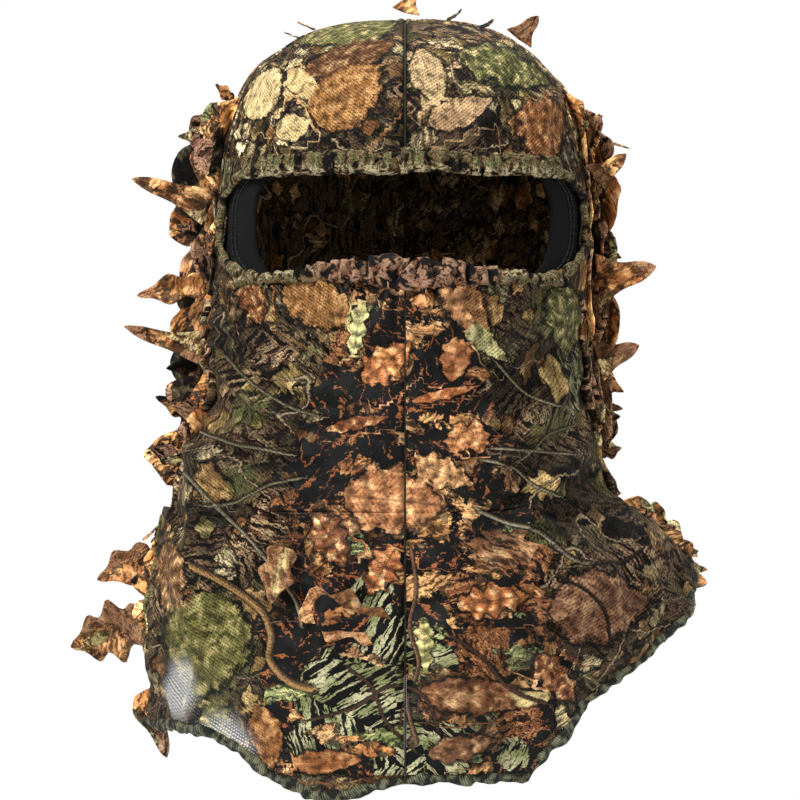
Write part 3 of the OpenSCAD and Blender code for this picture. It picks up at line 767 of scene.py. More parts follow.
# Branches: [half width, tone, points (x, z)]
TWIGS = [
    (1.1, "a39c84", [(-99, -109), (-86, -120), (-70, -134), (-56, -150), (-47, -163), (-44, -172)]),
    (0.9, "a39c84", [(-90, -92), (-76, -97), (-62, -99), (-49, -101)]),
    (0.9, "8f8a70", [(-86, -124), (-72, -121), (-58, -114), (-45, -111)]),
    (2.2, "b08d58", [(-92, -150), (-76, -157), (-62, -167), (-57, -178), (-58, -188), (-50, -197),
                     (-40, -200)]),
    (1.2, "a39c84", [(30, -124), (44, -131), (58, -136), (70, -146), (80, -149)]),
    (0.9, "a39c84", [(34, -103), (46, -106), (56, -115), (66, -120)]),
    (0.8, "a39c84", [(38, -98), (54, -99), (72, -101)]),
    (0.8, "8f8a70", [(44, -106), (54, -100), (62, -92), (74, -88)]),
    (1.1, "8f6d58", [(3, -142), (5, -158), (2, -174), (6, -190), (1, -206), (5, -222)]),
    (0.9, "5a3f30", [(-40, -213), (-22, -208), (-6, -199), (8, -203), (14, -216)]),
    (0.9, "5a3f30", [(-24, -192), (-14, -200), (-8, -214), (4, -226)]),
    (0.9, "2a1c16", [(62, -142), (76, -148), (88, -150), (102, -147)]),
    (0.8, "2a1c16", [(66, -154), (78, -160), (86, -168), (88, -178)]),
    (1.0, "5a4030", [(20, -178), (34, -188), (44, -200), (60, -206)]),
    (0.9, "8f8a70", [(-78, -58), (-66, -70), (-50, -80), (-36, -84)]),
    (0.9, "9c947a", [(40, -62), (52, -74), (66, -80)])]


def blot(x, z, spots):
    """1 within the spots, falling to 0 outside them."""
    total = np.zeros_like(x)
    for sx, sz, r in spots:
        total = np.maximum(total, smooth(1.35 - np.hypot(x - sx, z - sz) / r))
    return total


def smooth_line(points, n):
    """A curve through the points, with n steps between each two."""
    p = np.array(points, float)
    t = np.linspace(0, len(p) - 1, n * (len(p) - 1) + 1)
    i = np.minimum(t.astype(int), len(p) - 2)
    f = (t - i)[:, None]
    a, b, c, d = p[np.maximum(i - 1, 0)], p[i], p[i + 1], p[np.minimum(i + 2, len(p) - 1)]
    return curve(a, b, c, d, f)


STAMP_REACH = 1.3      # a large leaf counts this far out, where 1 is its own edge
TWIG_REACH = 3.4       # and a branch this far, in millimetres


def paint(x, z):
    """Attributes of points on the front: regions, and the place on a large leaf or a branch."""
    spots = [blot(x, z, SPOTS[k]) for k in ("green", "rust", "grass", "cream_and_painted_light", "bark", "dark")]
    # the crown above the brow is made half cream: partly print, partly painted light on the top
    spots[3] = np.maximum(spots[3], 0.5 * smooth((z - 30) / 10))
    stamp = np.zeros(x.shape + (3,))
    tone, lobe = np.zeros(x.shape + (4,)), np.zeros(x.shape)
    best = np.full(x.shape, 9.0)
    for sx, sz, heading, length, half, code, lobed in STAMPS:
        c, s = math.cos(math.radians(heading)), math.sin(math.radians(heading))
        u = ((x - sx) * c + (z - sz) * s) / length
        w = (-(x - sx) * s + (z - sz) * c) / half
        far = np.maximum(np.abs(u - 0.5) * 2, np.abs(w) / 1.25)
        use = far < best
        stamp[use] = np.stack([u, w, np.ones_like(u)], -1)[use]
        tone[use], lobe[use] = tint(code), lobed
        best = np.minimum(best, far)
    stamp[best > STAMP_REACH] = (0.5, 3.0, 0.0)
    twig, bark = np.zeros(x.shape + (3,)), np.zeros(x.shape + (4,))
    near = np.full(x.shape, 1e6)
    for half, code, points in TWIGS:
        line = smooth_line(points, 5)
        for a, b in zip(line[:-1], line[1:]):
            d = b - a
            t = np.clip(((x - a[0]) * d[0] + (z - a[1]) * d[1]) / (d @ d), 0, 1)
            gap = np.hypot(x - a[0] - t * d[0], z - a[1] - t * d[1])
            use = gap < near
            sign = np.sign((x - a[0]) * d[1] - (z - a[1]) * d[0])
            here = (gap < TWIG_REACH) * 1.0
            twig[use] = np.stack([gap * sign, np.full(x.shape, 0.8 * half), here], -1)[use]
            bark[use] = tint(code)
            near = np.minimum(near, gap)
    return {"zone": np.stack(spots[:3], -1), "zone_two": np.stack(spots[3:], -1), "stamp": stamp,
            "stamp_tone": tone, "stamp_lobe": lobe, "twig": twig, "twig_tone": bark}


# ---------------------------------------------------------------- mesh building
def add_attribute(mesh, name, values):
    values = np.asarray(values, np.float32)
    if values.ndim == 1:
        mesh.attributes.new(name, "FLOAT", "POINT").data.foreach_set("value", values)
    elif values.shape[1] == 3:
        mesh.attributes.new(name, "FLOAT_VECTOR", "POINT").data.foreach_set("vector", values.ravel())
    else:
        mesh.attributes.new(name, "FLOAT_COLOR", "POINT").data.foreach_set("color", values.ravel())


def build(name, grids, material, thick=0.5, closed=False):
    """One object from one or more grids of points. Each grid is (points, {attribute: values})."""
    verts, faces, values, start = [], [], {}, 0
    for points, attrs in grids:
        n, m = points.shape[:2]
        index = start + np.arange(n * m).reshape(n, m)
        if closed:
            index = np.concatenate([index, index[:, :1]], 1)
        quads = np.stack([index[:-1, :-1], index[:-1, 1:], index[1:, 1:], index[1:, :-1]], -1).reshape(-1, 4)
        faces += quads.tolist()
        if closed:
            faces += [index[0, -2::-1].tolist(), index[-1, :-1].tolist()]
        verts.append(points.reshape(-1, 3) * 0.001)
        for key, value in attrs.items():
            value = np.asarray(value, float)
            width = value.shape[2] if value.ndim == 3 else 1
            values.setdefault(key, []).append(value.reshape(-1, width) if width > 1 else value.reshape(-1))
        start += n * m
    mesh = bpy.data.meshes.new(name)
    mesh.from_pydata(np.concatenate(verts).tolist(), [], faces)
    for key, parts in values.items():
        add_attribute(mesh, key, np.concatenate(parts))
    mesh.validate()
    mesh.polygons.foreach_set("use_smooth", [True] * len(mesh.polygons))
    obj = bpy.data.objects.new(name, mesh)
    bpy.context.scene.collection.objects.link(obj)
    if thick:
        shell = obj.modifiers.new("cloth", "SOLIDIFY")
        shell.thickness = thick * 0.001
        shell.offset = -1
        bake(obj)
    obj.data.materials.append(MATERIALS[material])
    return obj


def bake(obj):
    """Applies the object's modifiers to its mesh."""
    bpy.context.view_layer.update()
    graph = bpy.context.evaluated_depsgraph_get()
    shaped = obj.evaluated_get(graph)
    mesh = bpy.data.meshes.new_from_object(shaped, preserve_all_data_layers=True, depsgraph=graph)
    old = obj.data
    obj.modifiers.clear()
    obj.data = mesh
    bpy.data.meshes.remove(old)
    mesh.name = obj.name


def span(a0, a1, pitch):
    """Even steps from a0 to a1, about one pitch each."""
    return np.linspace(a0, a1, max(2, int(round(abs(a1 - a0) / pitch)) + 1))


# Folds listed on the front: [width, height, (x, z), (x, z)]
FOLDS = [
    (7, 2.6, (90, -128), (122, -152)), (5, 1.8, (70, -120), (112, -160)), (6, 2.8, (88, -150), (58, -170)),
    (8, 3.5, (-80, -100), (-92, -158)), (6, 2.6, (-62, -110), (-78, -170)),
    (7, 2.8, (-100, -150), (-70, -206)), (3.2, 2.6, (-84, -44), (-42, -60)),
    (3.0, 2.4, (-84, -52), (-38, -72)), (3.4, 2.8, (-84, -62), (-46, -86)),
    (3.5, 2.2, (-58, -34), (-24, -58)), (4, 2.4, (-90, -84), (-56, -98)),
    (4, 2.2, (-88, -100), (-50, -118)), (6, 2.6, (70, -36), (38, -66)), (5, 2.0, (74, -60), (48, -92)),
    (6, 2.4, (78, -96), (50, -124)), (7, 3.0, (40, -150), (56, -215)), (8, 3.2, (12, -150), (22, -224)),
    (7, 2.6, (-28, -150), (-40, -228)), (5, 2.4, (-10, -36), (-22, -66)), (5, 2.4, (12, -36), (20, -70)),
    (6, 1.4, (66, -176), (96, -186)), (4, 1.4, (-46, 34), (-58, 66)), (4, 1.4, (30, 36), (44, 70)),
    (4, 1.2, (-14, 34), (-18, 60)), (4, 1.2, (58, 34), (66, 60))]


def ridges(x, z):
    """The listed folds, as a height."""
    total = np.zeros_like(x)
    for width, tall, a, b in FOLDS:
        a, d = np.array(a, float), np.array(b, float) - np.array(a, float)
        t = ((x - a[0]) * d[0] + (z - a[1]) * d[1]) / (d @ d)
        t_in = np.clip(t, 0, 1)
        sway = 2.5 * np.sin(5 * t_in + width + a[0])
        across = ((x - a[0]) * d[1] - (z - a[1]) * d[0]) / np.hypot(*d) + sway
        past = np.hypot(*d) * np.abs(t - t_in)
        side = across / width
        crest = np.exp(-side ** 2) - 0.45 * np.exp(-(side - 1.5) ** 2)
        swell = 0.35 + 0.65 * np.sin(math.pi * np.clip(t_in, 0.03, 0.97)) ** 0.6
        total += tall * crest * np.exp(-(past / 8) ** 2) * swell
    return total


def folds(a, z):
    """How far the cloth stands off its plain shape: drape folds, gathers and small wrinkles."""
    x = a * PER_DEGREE
    face = smooth((-z - 14) / 20)
    drape = 2.1 * fractal(x / 30 + z / 70, z / 16 - np.abs(x) / 60, 21) * face
    bib = smooth((-z - 120) / 30)
    hang = 3.0 * fractal(x / 21, z / 90, 31) * bib + 1.2 * fractal(x / 15, z / 15, 35) * bib
    crown = smooth((z - 20) / 16)
    tight = 0.5 * fractal(x / 16, z / 22, 41) * crown
    crease = 1 - np.abs(noise(x / 13 + z / 23, z / 11 - x / 31, 45)) * 2
    small = 0.25 * fractal(x / 6, z / 6, 51, 2) + 0.5 * np.maximum(crease - 0.55, 0) * (face + 0.5 * crown)
    turn = (a + 180) % 360 - 180
    front = smooth((97 - np.abs(turn)) / 8)
    px = point(a, at_height(z))[..., 0]
    return 1.2 * drape + hang + tight + small + 1.9 * ridges(px, z) * front


def gathers(a, distance, spread, amount, pitch):
    """Puckers that run away from an elastic casing."""
    return amount * puckers(a * PER_DEGREE, pitch) * np.exp(-np.maximum(distance, 0) / spread)


def cloth_grid(a, v, off, shift=(0, 0), sheer=0.0, heart=0.0):
    """Points and attributes of a patch. Its print narrows to the top, about the line at heart."""
    z = height(v)
    points = lifted(a, v, off)
    attrs = paint(points[..., 0], z)
    u = PER_DEGREE * (heart + (a - heart) * narrowing(v))
    attrs["cloth"] = np.stack([u + shift[0], down_cloth(v) + shift[1], np.zeros_like(z)], -1)
    attrs["sheer"] = np.zeros_like(z) + sheer
    return points, attrs


def panel(name, a0, a1, top, low, off, shift, pitch, rows, sheer=0.0):
    """A mesh panel between two angles, from the height top down to low. top, low and sheer are numbers
    or functions, and off is a function."""
    aa, tt = np.meshgrid(span(a0, a1, pitch / PER_DEGREE), np.linspace(0, 1, rows), indexing="ij")
    top, low = [edge(aa) if callable(edge) else edge + 0 * aa for edge in (top, low)]
    v = lerp(at_height(top), at_height(low), tt)
    z = height(v)
    see = sheer(aa, z) if callable(sheer) else sheer
    return build(name, [cloth_grid(aa, v, off(aa, z), shift, see, (a0 + a1) / 2)], "mesh_camo")


def run(p):
    """Length along a line of points, from its first one."""
    return np.concatenate([[0], np.cumsum(np.linalg.norm(np.diff(p, axis=0), axis=1))])


def ring_of(a, z, off, w, h, sides=10, shift=(0, 0), square=1.0):
    """Rings round a line on the cloth, w across it and h off it, as a grid with its attributes."""
    v = at_height(z)
    p, n = lifted(a, v, off), normal(a, v)
    along = unit(np.gradient(p, axis=0))
    side = unit(np.cross(n, along))
    ang = np.linspace(0, 2 * math.pi, sides, endpoint=False)
    w, h = np.broadcast_to(w, len(p)), np.broadcast_to(h, len(p))
    ring = (p[:, None] + (w[:, None] * spow(np.cos(ang), square)[None])[..., None] * side[:, None]
            + (h[:, None] * spow(np.sin(ang), square)[None])[..., None] * n[:, None])
    length = run(p)
    cloth = np.stack([length[:, None] + shift[0] + 0 * ang[None],
                      (w[:, None] * np.cos(ang)[None]) + shift[1] + 0.5 * np.sin(ang)[None],
                      np.zeros((len(length), sides))], -1)
    plain = np.zeros_like(cloth)
    return ring, {"cloth": cloth, "zone": plain, "zone_two": plain + (0.7, 0.8, 0)}


def puckers(x, pitch):
    """A wave along the cloth for gathers that an elastic draws up, uneven like real ones."""
    phase = 2 * math.pi * (x + 2.6 * wobble(x, 9, 61)) / pitch
    return np.sin(phase) + 0.45 * wobble(x, 2.3, 62)


def tube(name, a, z, off, w, h, material, sides=10, shift=(0, 0), square=1.0, green=0.0):
    """A band swept along a line on the cloth. a, z and off are arrays along it. square below 1 makes its
    section boxy, and green is how green its print is."""
    ring, attrs = ring_of(a, z, off, w, h, sides, shift, square)
    attrs["zone"] = attrs["zone"] + (green, 0, 0)
    return build(name, [(ring, attrs)], material, thick=0, closed=True)


def casing(name, a0, a1, edge, down, seed, gather, shift, width, spread, pitch):
    """A ruffled elastic casing along the eye opening's edge, puckered by the band inside it."""
    a = span(a0, a1, 0.36)
    x = a * PER_DEGREE
    centre = np.exp(-(a / 25) ** 2)
    amount = 0.3 + 0.9 * gather * centre
    pucker = puckers(x, pitch)

    def uneven(step, k):
        return wobble(x, step, seed + k)

    wave = uneven(2.6, 5) + 0.8 * uneven(1.3, 1) + 0.4 * pucker
    drawn = centre * (gather > 1)
    wide = width * (spread + (1 - spread) * centre)
    w = wide * (1 + 0.6 * drawn) * (1 + (0.2 - 0.13 * drawn) * amount * wave)
    z = edge(a) + down * (2 * wide + 0.4 - w + 1.2 * amount * uneven(5.2, 2) + 0.3 * amount * pucker)
    h = 1.6 * (1 + 0.45 * amount * (uneven(2.1, 3) + 0.4 * pucker))
    off = 1.7 + 1.4 * amount * (0.6 * uneven(3.1, 4) + pucker)
    ring, attrs = ring_of(a, z, off, w, h, 14, shift, 0.8)
    attrs["fringe"] = down * (ring[..., 2] - ring[..., 2].mean(1, keepdims=True)) / w[:, None]
    attrs["gathered"] = (gather > 1) * smooth(centre * 2.4 - 0.5)[:, None] + 0 * attrs["cloth"][..., 0]
    return build(name, [(ring, attrs)], "ruffle_camo", thick=0, closed=True)


# ---------------------------------------------------------------- leaf strips and leaves
CLEAR_OF_LEAF = 17     # how far round a loose leaf's root the strips are cut short


def leaf_strip(seed, a, z, base, tongues, lift, curl, off=1.2, ruffle=0.35, rows=7, halves=(5.0, 9.5),
               tip=1.5, clear=()):
    """A strip of cloth sewn along the line (a, z) and cut into tongues on its free edge.
    base is its plain width, tongues the range of their lengths, halves of their half widths, lift its
    angle off the cloth and curl how far it rolls from root to edge, both in degrees. The strip is cut
    short near the points in clear."""
    rng = np.random.RandomState(seed)
    v = at_height(z)
    root, n = lifted(a, v, np.full_like(a, off)), normal(a, v)
    along = unit(np.gradient(root, axis=0))
    side = unit(np.cross(along, n))
    length = run(root)
    reach = np.full(len(a), base * 1.0)
    tilt = np.zeros(len(a))
    at = rng.uniform(2, 8)
    while at < length[-1] - 4:
        half = rng.uniform(*halves)
        tall = rng.uniform(*tongues)
        k = np.clip(1 - np.abs((length - at) / half) ** tip, 0, 1) ** 0.75
        tilt = np.where(base + tall * k > reach, rng.uniform(-0.7, 0.7), tilt)
        reach = np.maximum(reach, base + tall * k)
        at += half * rng.uniform(1.5, 2.1)
    reach *= np.minimum(1, np.minimum(length, length[-1] - length) / 9 + 0.25)
    for spot in clear:
        reach *= 1 - 0.8 * np.exp(-(np.linalg.norm(root - spot, axis=1) / CLEAR_OF_LEAF) ** 4)
    wave = wobble(length, 15, seed + 1) + 0.5 * wobble(length, 6, seed + 2)
    start = np.radians(lift) * (1 + ruffle * wave)
    roll = np.radians(curl) * (1 + 0.5 * wobble(length, 11, seed + 3))
    s = np.linspace(0, 1, rows + 1)
    bend = start[:, None] + roll[:, None] * s[None] ** 1.2
    step = (reach / rows)[:, None]
    at_root = np.zeros((len(a), 1))
    out = np.cumsum(np.concatenate([at_root, step * np.sin(bend[:, 1:])], 1), 1)
    flat = np.cumsum(np.concatenate([at_root, step * np.cos(bend[:, 1:])], 1), 1)
    slide = (tilt * reach)[:, None] * 0.35 * s[None] ** 2
    points = (root[:, None] + out[..., None] * n[:, None] + flat[..., None] * side[:, None]
              + slide[..., None] * along[:, None])
    ll, ss = np.meshgrid(length, s, indexing="ij")
    crumple = [fractal(ll / 5, ss * 3, seed + 4 + k, 2) for k in range(3)]
    points += 0.5 * np.stack(crumple, -1) * s[None, :, None]
    # painted shade: the strip is darker at its sewn root and lighter towards its free edge
    return points, leaf_attributes(rng, ll, reach[:, None] * ss, 0.84 + 0.42 * ss)


def leaf_attributes(rng, u, v, shade, rib=None, plain=0.0):
    """u and v are the place on the leaf, plain how far its print is one plain rust leaf. shade scales its
    colour, times a random tone for each piece; the strips pass a painted shade in it, darker at their sewn
    roots.
    """
    cloth = np.stack([u + rng.uniform(0, 900), v + rng.uniform(0, 900), np.zeros_like(u)], -1)
    if rib is None:
        rib = np.stack([0 * u, 1 + 0 * u, 0 * u], -1)
    return {"cloth": cloth, "rib": rib, "plain": plain + 0 * u, "shade": shade * rng.uniform(0.85, 1.15)}


def tongue(rng, root, direction, face, length, width, lobes=2, curl=20.0, cup=0.25, n=15, m=7, horn=False,
           plain=0.0):
    """A single cut leaf from its sewn root along direction, with its flat side towards face."""
    x, f = unit(np.asarray(direction, float)), np.asarray(face, float)
    y = unit(np.cross(f, x))
    z = np.cross(x, y)
    t = np.linspace(0, 1, n)
    s = np.linspace(-1, 1, m)
    if horn:
        half = width / 2 * (1 - t) ** 0.62 * (1 + 0.15 * np.cos(7 * t))
    else:
        lobed = 0.8 + 0.2 * np.cos(2 * math.pi * lobes * (1 - t) + 0.7)
        half = width / 2 * np.sin(math.pi * (0.06 + 0.94 * t) ** 0.75) ** 0.75 * lobed
    half = np.maximum(half, 0.25)
    bend = np.radians(curl) * t ** 1.3
    ahead = np.concatenate([[0], np.cumsum(np.cos(bend[1:]) * length / (n - 1))])
    up = np.concatenate([[0], np.cumsum(np.sin(bend[1:]) * length / (n - 1))])
    sway = 0.12 * length * rng.uniform(-1, 1) * t ** 2
    across = half[:, None] * s[None]
    crumple = 0.5 * fractal(t[:, None] * 4 + 0 * across, across / 4, rng.randint(999))
    lift = up[:, None] + cup * np.abs(across) ** 1.4 * 0.35 + crumple
    forward = ahead[:, None] - 0.22 * np.abs(across) * (t[:, None] - 0.3)
    points = (np.asarray(root)[None, None] + forward[..., None] * x + (across + sway[:, None])[..., None] * y
              + lift[..., None] * z)
    rib = np.stack(np.broadcast_arrays(t[:, None], s[None], 0.0), -1)
    none = 0 * across
    return points, leaf_attributes(rng, t[:, None] * length + none, across, 1.0 + none, rib, plain)


def sewn(rng, a, z, turn, lift, length, width, lobes, off, curl, cup=0.25, horn=False):
    """A cut leaf sewn to the hood, turned from straight down and lifted off the cloth, in degrees."""
    v = at_height(z)
    n = normal(a, v)
    down = unit(point(a, v + 0.01) - point(a, v - 0.01))
    side = unit(point(a + 1, v) - point(a - 1, v))
    c, s = math.cos(math.radians(turn)), math.sin(math.radians(turn))
    flat = unit(c * down + s * side)
    c, s = math.cos(math.radians(lift)), math.sin(math.radians(lift))
    root, direction, face = lifted(a, v, off), c * flat + s * n, c * n - s * flat
    return tongue(rng, root, direction, face, length, width, lobes, curl, cup, horn=horn)


# ---------------------------------------------------------------- how the pieces move
def place(x, z):
    """A point in front view, in metres."""
    return (x * 0.001, 0, z * 0.001)


FACE_WIDE, FACE_TALL = 75.0, 110.0     # what the pull fades over, from the nose


def veil_blend(side):
    """From the pulled edge at the nose, across the whole width and height of the face's cloth."""
    d = np.array([side / FACE_WIDE, -1 / FACE_TALL])
    d = d / (d @ d)
    return "veil", "hood", place(0, NOSE_Z), place(d[0], NOSE_Z + d[1])


# the cloth between two bodies, and the span given for each blend: 14 mm under the chin for the bib, 36 mm for
# the cape
BLENDS = {
    "face_left": veil_blend(-1),
    "face_right": veil_blend(1),
    "bib_cloth": ("hood", "bib", place(0, JOIN_Z), place(0, JOIN_Z - 14)),
    "cape_cloth": ("hood", "cape", place(0, CAPE_TOP + 2), place(0, CAPE_TOP - 34))}
SIDES = ((-1, "left"), (1, "right"))


def keep(piece, moves, *nodes):
    """Sets a piece on the body it rides on, or bakes its transform if moves is a blend's name. moves is a
    blend's name or the body it rides on, nodes the CAD nodes it replaces and hides.
    """
    if moves in BLENDS:
        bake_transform(piece)
    else:
        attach(piece, moves)
    if nodes:
        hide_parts(*nodes)


# ---------------------------------------------------------------- panels
def seam_dip(a, width=1.1, depth=0.9):
    """How far the centre seam draws the cloth in."""
    return depth * np.exp(-(a / width) ** 2)


def crown_off(a, z):
    """The crown's cloth, drawn in along its centre seam and puckered above the brow casing."""
    beside = 1.2 * np.exp(-((np.abs(a) - 4) / 3) ** 2)
    return 1.0 + folds(a, z) + gathers(a, z - brow_edge(a), 7, 0.55, 6.0) - seam_dip(a, 1.6, 1.6) + beside


def side_off(a, z):
    return 0.4 + folds(a, z) * 0.6 + 1.0 * fractal(a / 9, z / 14, 71)


def face_off(a, z):
    """The face's cloth, which the cheek elastic gathers and the chin pushes out."""
    amount = 2.1 * np.exp(-(a / 25) ** 2) + 0.15
    return (1.0 + 3.4 * smooth((-z - 62) / 40) + folds(a, z) - seam_dip(a)
            + gathers(a, cheek_edge(a) - z, 17, amount, 6.5))


def bib_off(a, z):
    return 4.0 + folds(a, z) - seam_dip(a)


def bib_sheer(a, z):
    """Two patches at the lower left where the mesh has lost its print."""
    upper = smooth(1.5 - np.hypot((a + 57) / 8, (z + 203) / 13))
    lower = smooth(1.4 - np.hypot((a + 41) / 8, (z + 225) / 14))
    return 0.08 + 0.9 * upper + 0.85 * lower


def cape_off(a, z):
    return 0.6 + 1.8 * fractal(a / 12, z / 60, 81) * smooth((-z - 128) / 20)


for side, word in SIDES:
    a0, a1 = sorted((side * 0.25, side * (EYE_A + 1)))
    crown = panel("crown_" + word, a0, a1, TOP_Z, lambda a: brow_edge(a) - 3, crown_off,
                  (300 * side, 40 * side), 2.0, 64, 0.1)
    keep(crown, "hood", "crown_panel_" + word)
    a0, a1 = (-128.2, -EYE_A - 0.3) if side < 0 else (EYE_A + 0.3, 128.2)
    flank = panel("side_" + word, a0, a1, TOP_Z, -126, side_off, (500 * side, 90), 3.6, 76)
    keep(flank, "hood", "side_panel_" + word)
    a0, a1 = (180.15, 232.2) if side < 0 else (127.8, 179.85)
    back = panel("back_" + word, a0, a1, TOP_Z, CAPE_TOP, side_off, (900 * side, 30), 3.6, 76)
    keep(back, "hood", "back_panel_" + word)

    # the face's cloth, from the cheek edge to the chin, sewn to the hood at its side
    a0, a1 = sorted((side * 0.12, side * (EYE_A + 1.5)))
    face = panel("face_" + word, a0, a1, lambda a: cheek_edge(a) + 3, JOIN_Z - 3, face_off,
                 (130 * side, 0), 1.9, 62, 0.12)
    keep(face, "face_" + word, "veil_panel_" + word, "chin_band_" + word)
    a0, a1 = sorted((side * 0.12, side * BIB_A))
    bib = panel("bib_" + word, a0, a1, JOIN_Z, hem_edge, bib_off, (130 * side, 0), 2.1, 56, bib_sheer)
    keep(bib, "bib_cloth", "bib_panel_" + word)
    a0, a1 = (180.0, 360 - CAPE_A + 6) if side < 0 else (CAPE_A - 6, 180.0)
    cape = panel("cape_" + word, a0, a1, CAPE_TOP + 2, cape_edge, cape_off, (700 * side, 10), 3.2, 26)
    keep(cape, "cape_cloth", "cape_panel_" + word)


# ---------------------------------------------------------------- satin beside the centre seam
STRIP_DOWN = [18, 40, 70, 100, 130, 160, 185, 215, 245]
STRIP_WIDE = [14, 25, 30, 38, 42, 40, 46, 50, 46]


def strip_edge(z, side):
    """How far the satin reaches from the seam, with its leaf-cut edge. It is calmer low on the bib."""
    teeth = np.abs(((-z / 17.0 + 0.35 * side) % 1) * 2 - 1) ** 0.8
    jag = 9 * teeth + 5 * wobble(z, 6, 90 + side) + 2.5 * wobble(z, 2.4, 93 + side)
    return np.interp(-z, STRIP_DOWN, STRIP_WIDE) + jag * calm(z)


def calm(z):
    """1 down to the middle of the bib, and 0.25 below it."""
    return 0.25 + 0.75 * smooth((z + 190) / 20)


for side, word in SIDES:
    for part, z0, z1, cloth_off, moves in (
            ("veil", NOSE_Z - 5, JOIN_Z, face_off, "face_" + word),
            ("bib", JOIN_Z + 0.01, HEM_Z + 2.5, bib_off, "bib_cloth")):
        down = np.linspace(z0, z1, int(abs(z1 - z0) / 1.3))
        zz, ss = np.meshgrid(down, np.linspace(0.006, 1, 26), indexing="ij")
        aa = side * ss * strip_edge(zz, side) / PER_DEGREE
        low_z = np.maximum(zz, hem_edge(aa) + 1.0)
        loose_edge = smooth(ss * 3 - 2) * calm(low_z)
        off = cloth_off(aa, low_z) + 0.9 + loose_edge * (1.4 + 1.6 * fractal(zz / 9, ss * 2, 97 + side))
        points, attrs = cloth_grid(aa, at_height(low_z), off, (130 * side + 450, 200))
        if side < 0:
            points = points[:, ::-1]
            attrs = {k: x[:, ::-1] for k, x in attrs.items()}
        strip = build("overlay_%s_%s" % (part, word), [(points, attrs)], "satin_camo", 0.45)
        keep(strip, moves, "%s_overlay_%s" % (part, word))

# ---------------------------------------------------------------- casings, liner, seams
CORNER_HALF = 25.5     # half the eye opening's height at its corners
CORNER_DEEP = 27.0     # how many degrees the corner's curve takes


def corner_curve(share):
    """How far the opening's rounded corner comes towards the nose, in degrees, where share runs from 0 at
    the corner's middle height to 1 at its top and -1 at its foot."""
    return CORNER_DEEP * np.abs(share) ** 3.4


brow = casing("brow_ruffle", -EYE_A + 14, EYE_A - 14, brow_edge, -1, 101, 0.6, (40, 5), 4.9, 1.0, 6.0)
keep(brow, "hood", "brow_casing", "brow_elastic")
for side, word in SIDES:
    a0, a1 = sorted((0, side * (EYE_A - 12)))
    cheek = casing("cheek_ruffle_" + word, a0, a1, cheek_edge, 1, 111, 1.3, (340, 60), 4.4, 0.5, 6.5)
    keep(cheek, "face_" + word, *(("cheek_casing", "cheek_elastic") if side < 0 else ()))
    rim_z = CORNER_HALF * np.sin(np.linspace(math.pi / 2, -math.pi / 2, 90))
    x = np.linspace(0, 74, 90)
    bow = EYE_A + 2.0 - corner_curve(rim_z / CORNER_HALF)
    rim = tube("eye_rim_" + word, side * (bow + 0.7 * wobble(x, 4, 131)), rim_z,
               1.9 + 0.7 * wobble(x, 3, 132), 2.5 + 0.8 * wobble(x, 2.2, 133),
               1.7 + 0.5 * wobble(x, 2, 134), "ruffle_camo", 12, (80, 90), 0.9)
    keep(rim, "hood")
    # the cloth that rounds the opening's corner
    ss, tt = np.meshgrid(np.linspace(0, 1, 20), np.linspace(29, -29, 52), indexing="ij")
    inner = EYE_A + 1.0 - corner_curve(np.clip(tt / CORNER_HALF, -1, 1))
    aa = side * lerp(inner, EYE_A + 6.0, ss if side > 0 else 1 - ss)
    grid = cloth_grid(aa, at_height(tt), 1.2 + folds(aa, tt) * 0.5, (620, 300))
    keep(build("eye_corner_" + word, [grid], "mesh_camo"), "hood")
    # black stretch liner inside the corner, a crescent
    ss, tt = np.meshgrid(np.linspace(0, 1, 18), np.linspace(0, 1, 44), indexing="ij")
    inner = EYE_A - 16.5 - 17 * np.abs(2 * tt - 1) ** 3
    aa = lerp(inner, EYE_A + 12, ss)
    zz = lerp(brow_edge(EYE_A) + 2.0, CHEEK_Z + 0.5, tt)
    if side < 0:
        aa = -aa[::-1]
    off = -1.0 - 0.8 * smooth((EYE_A - 8 - np.abs(aa)) / 10) + 0.25 * fractal(aa / 4, zz / 9, 137)
    liner = build("liner_" + word, [cloth_grid(aa, at_height(zz), off, (20, 20))], "liner_black", 1.0)
    keep(liner, "hood", "eye_liner_" + word)


def grouped(name, grids):
    return build(name, grids, "leaf_cloth", 0.45)


def seam(name, node, moves, a, z, off, half, thick, material="seam_thread"):
    """A seam sewn down the folded cloth, a degrees from the nose."""
    keep(tube(name, a + 0 * z, z, off(a + 0 * z, z), half, thick, material, 8), moves, node)


for side, word in SIDES:
    seam("side_stitching_" + word, "crown_side_seam_" + word, "hood", side * (EYE_A + 0.6),
         height(np.linspace(0.05, at_height(30), 60)), lambda a, z: 1.0 + folds(a, z), 0.8, 0.5, "mesh_camo")
seam("crown_stitching", "crown_seam", "hood", 0.0, height(np.linspace(0.03, at_height(31), 90)),
     lambda a, z: 0.2 + folds(a, z), 0.55, 0.5)
seam("back_stitching", "back_seam", "hood", 180.0, height(np.linspace(0.03, at_height(CAPE_TOP), 170)),
     lambda a, z: 1.4 + folds(a, z) * 0.6, 1.1, 0.9)
seam("veil_stitching", "veil_seam", "face_right", 0.0, span(NOSE_Z - 9, JOIN_Z, 1.2),
     lambda a, z: face_off(a, z) + 1.1, 0.42, 0.4)
seam("bib_stitching", "bib_seam", "bib_cloth", 0.0, span(JOIN_Z, HEM_Z - 1, 1.2),
     lambda a, z: bib_off(a, z) + 1.1, 0.42, 0.4)
seam("cape_stitching", "cape_seam", "cape_cloth", 180.0, span(CAPE_TOP - 1, CAPE_HEM + 2, 1.6),
     lambda a, z: 2.2 + 0 * z, 1.0, 0.8)

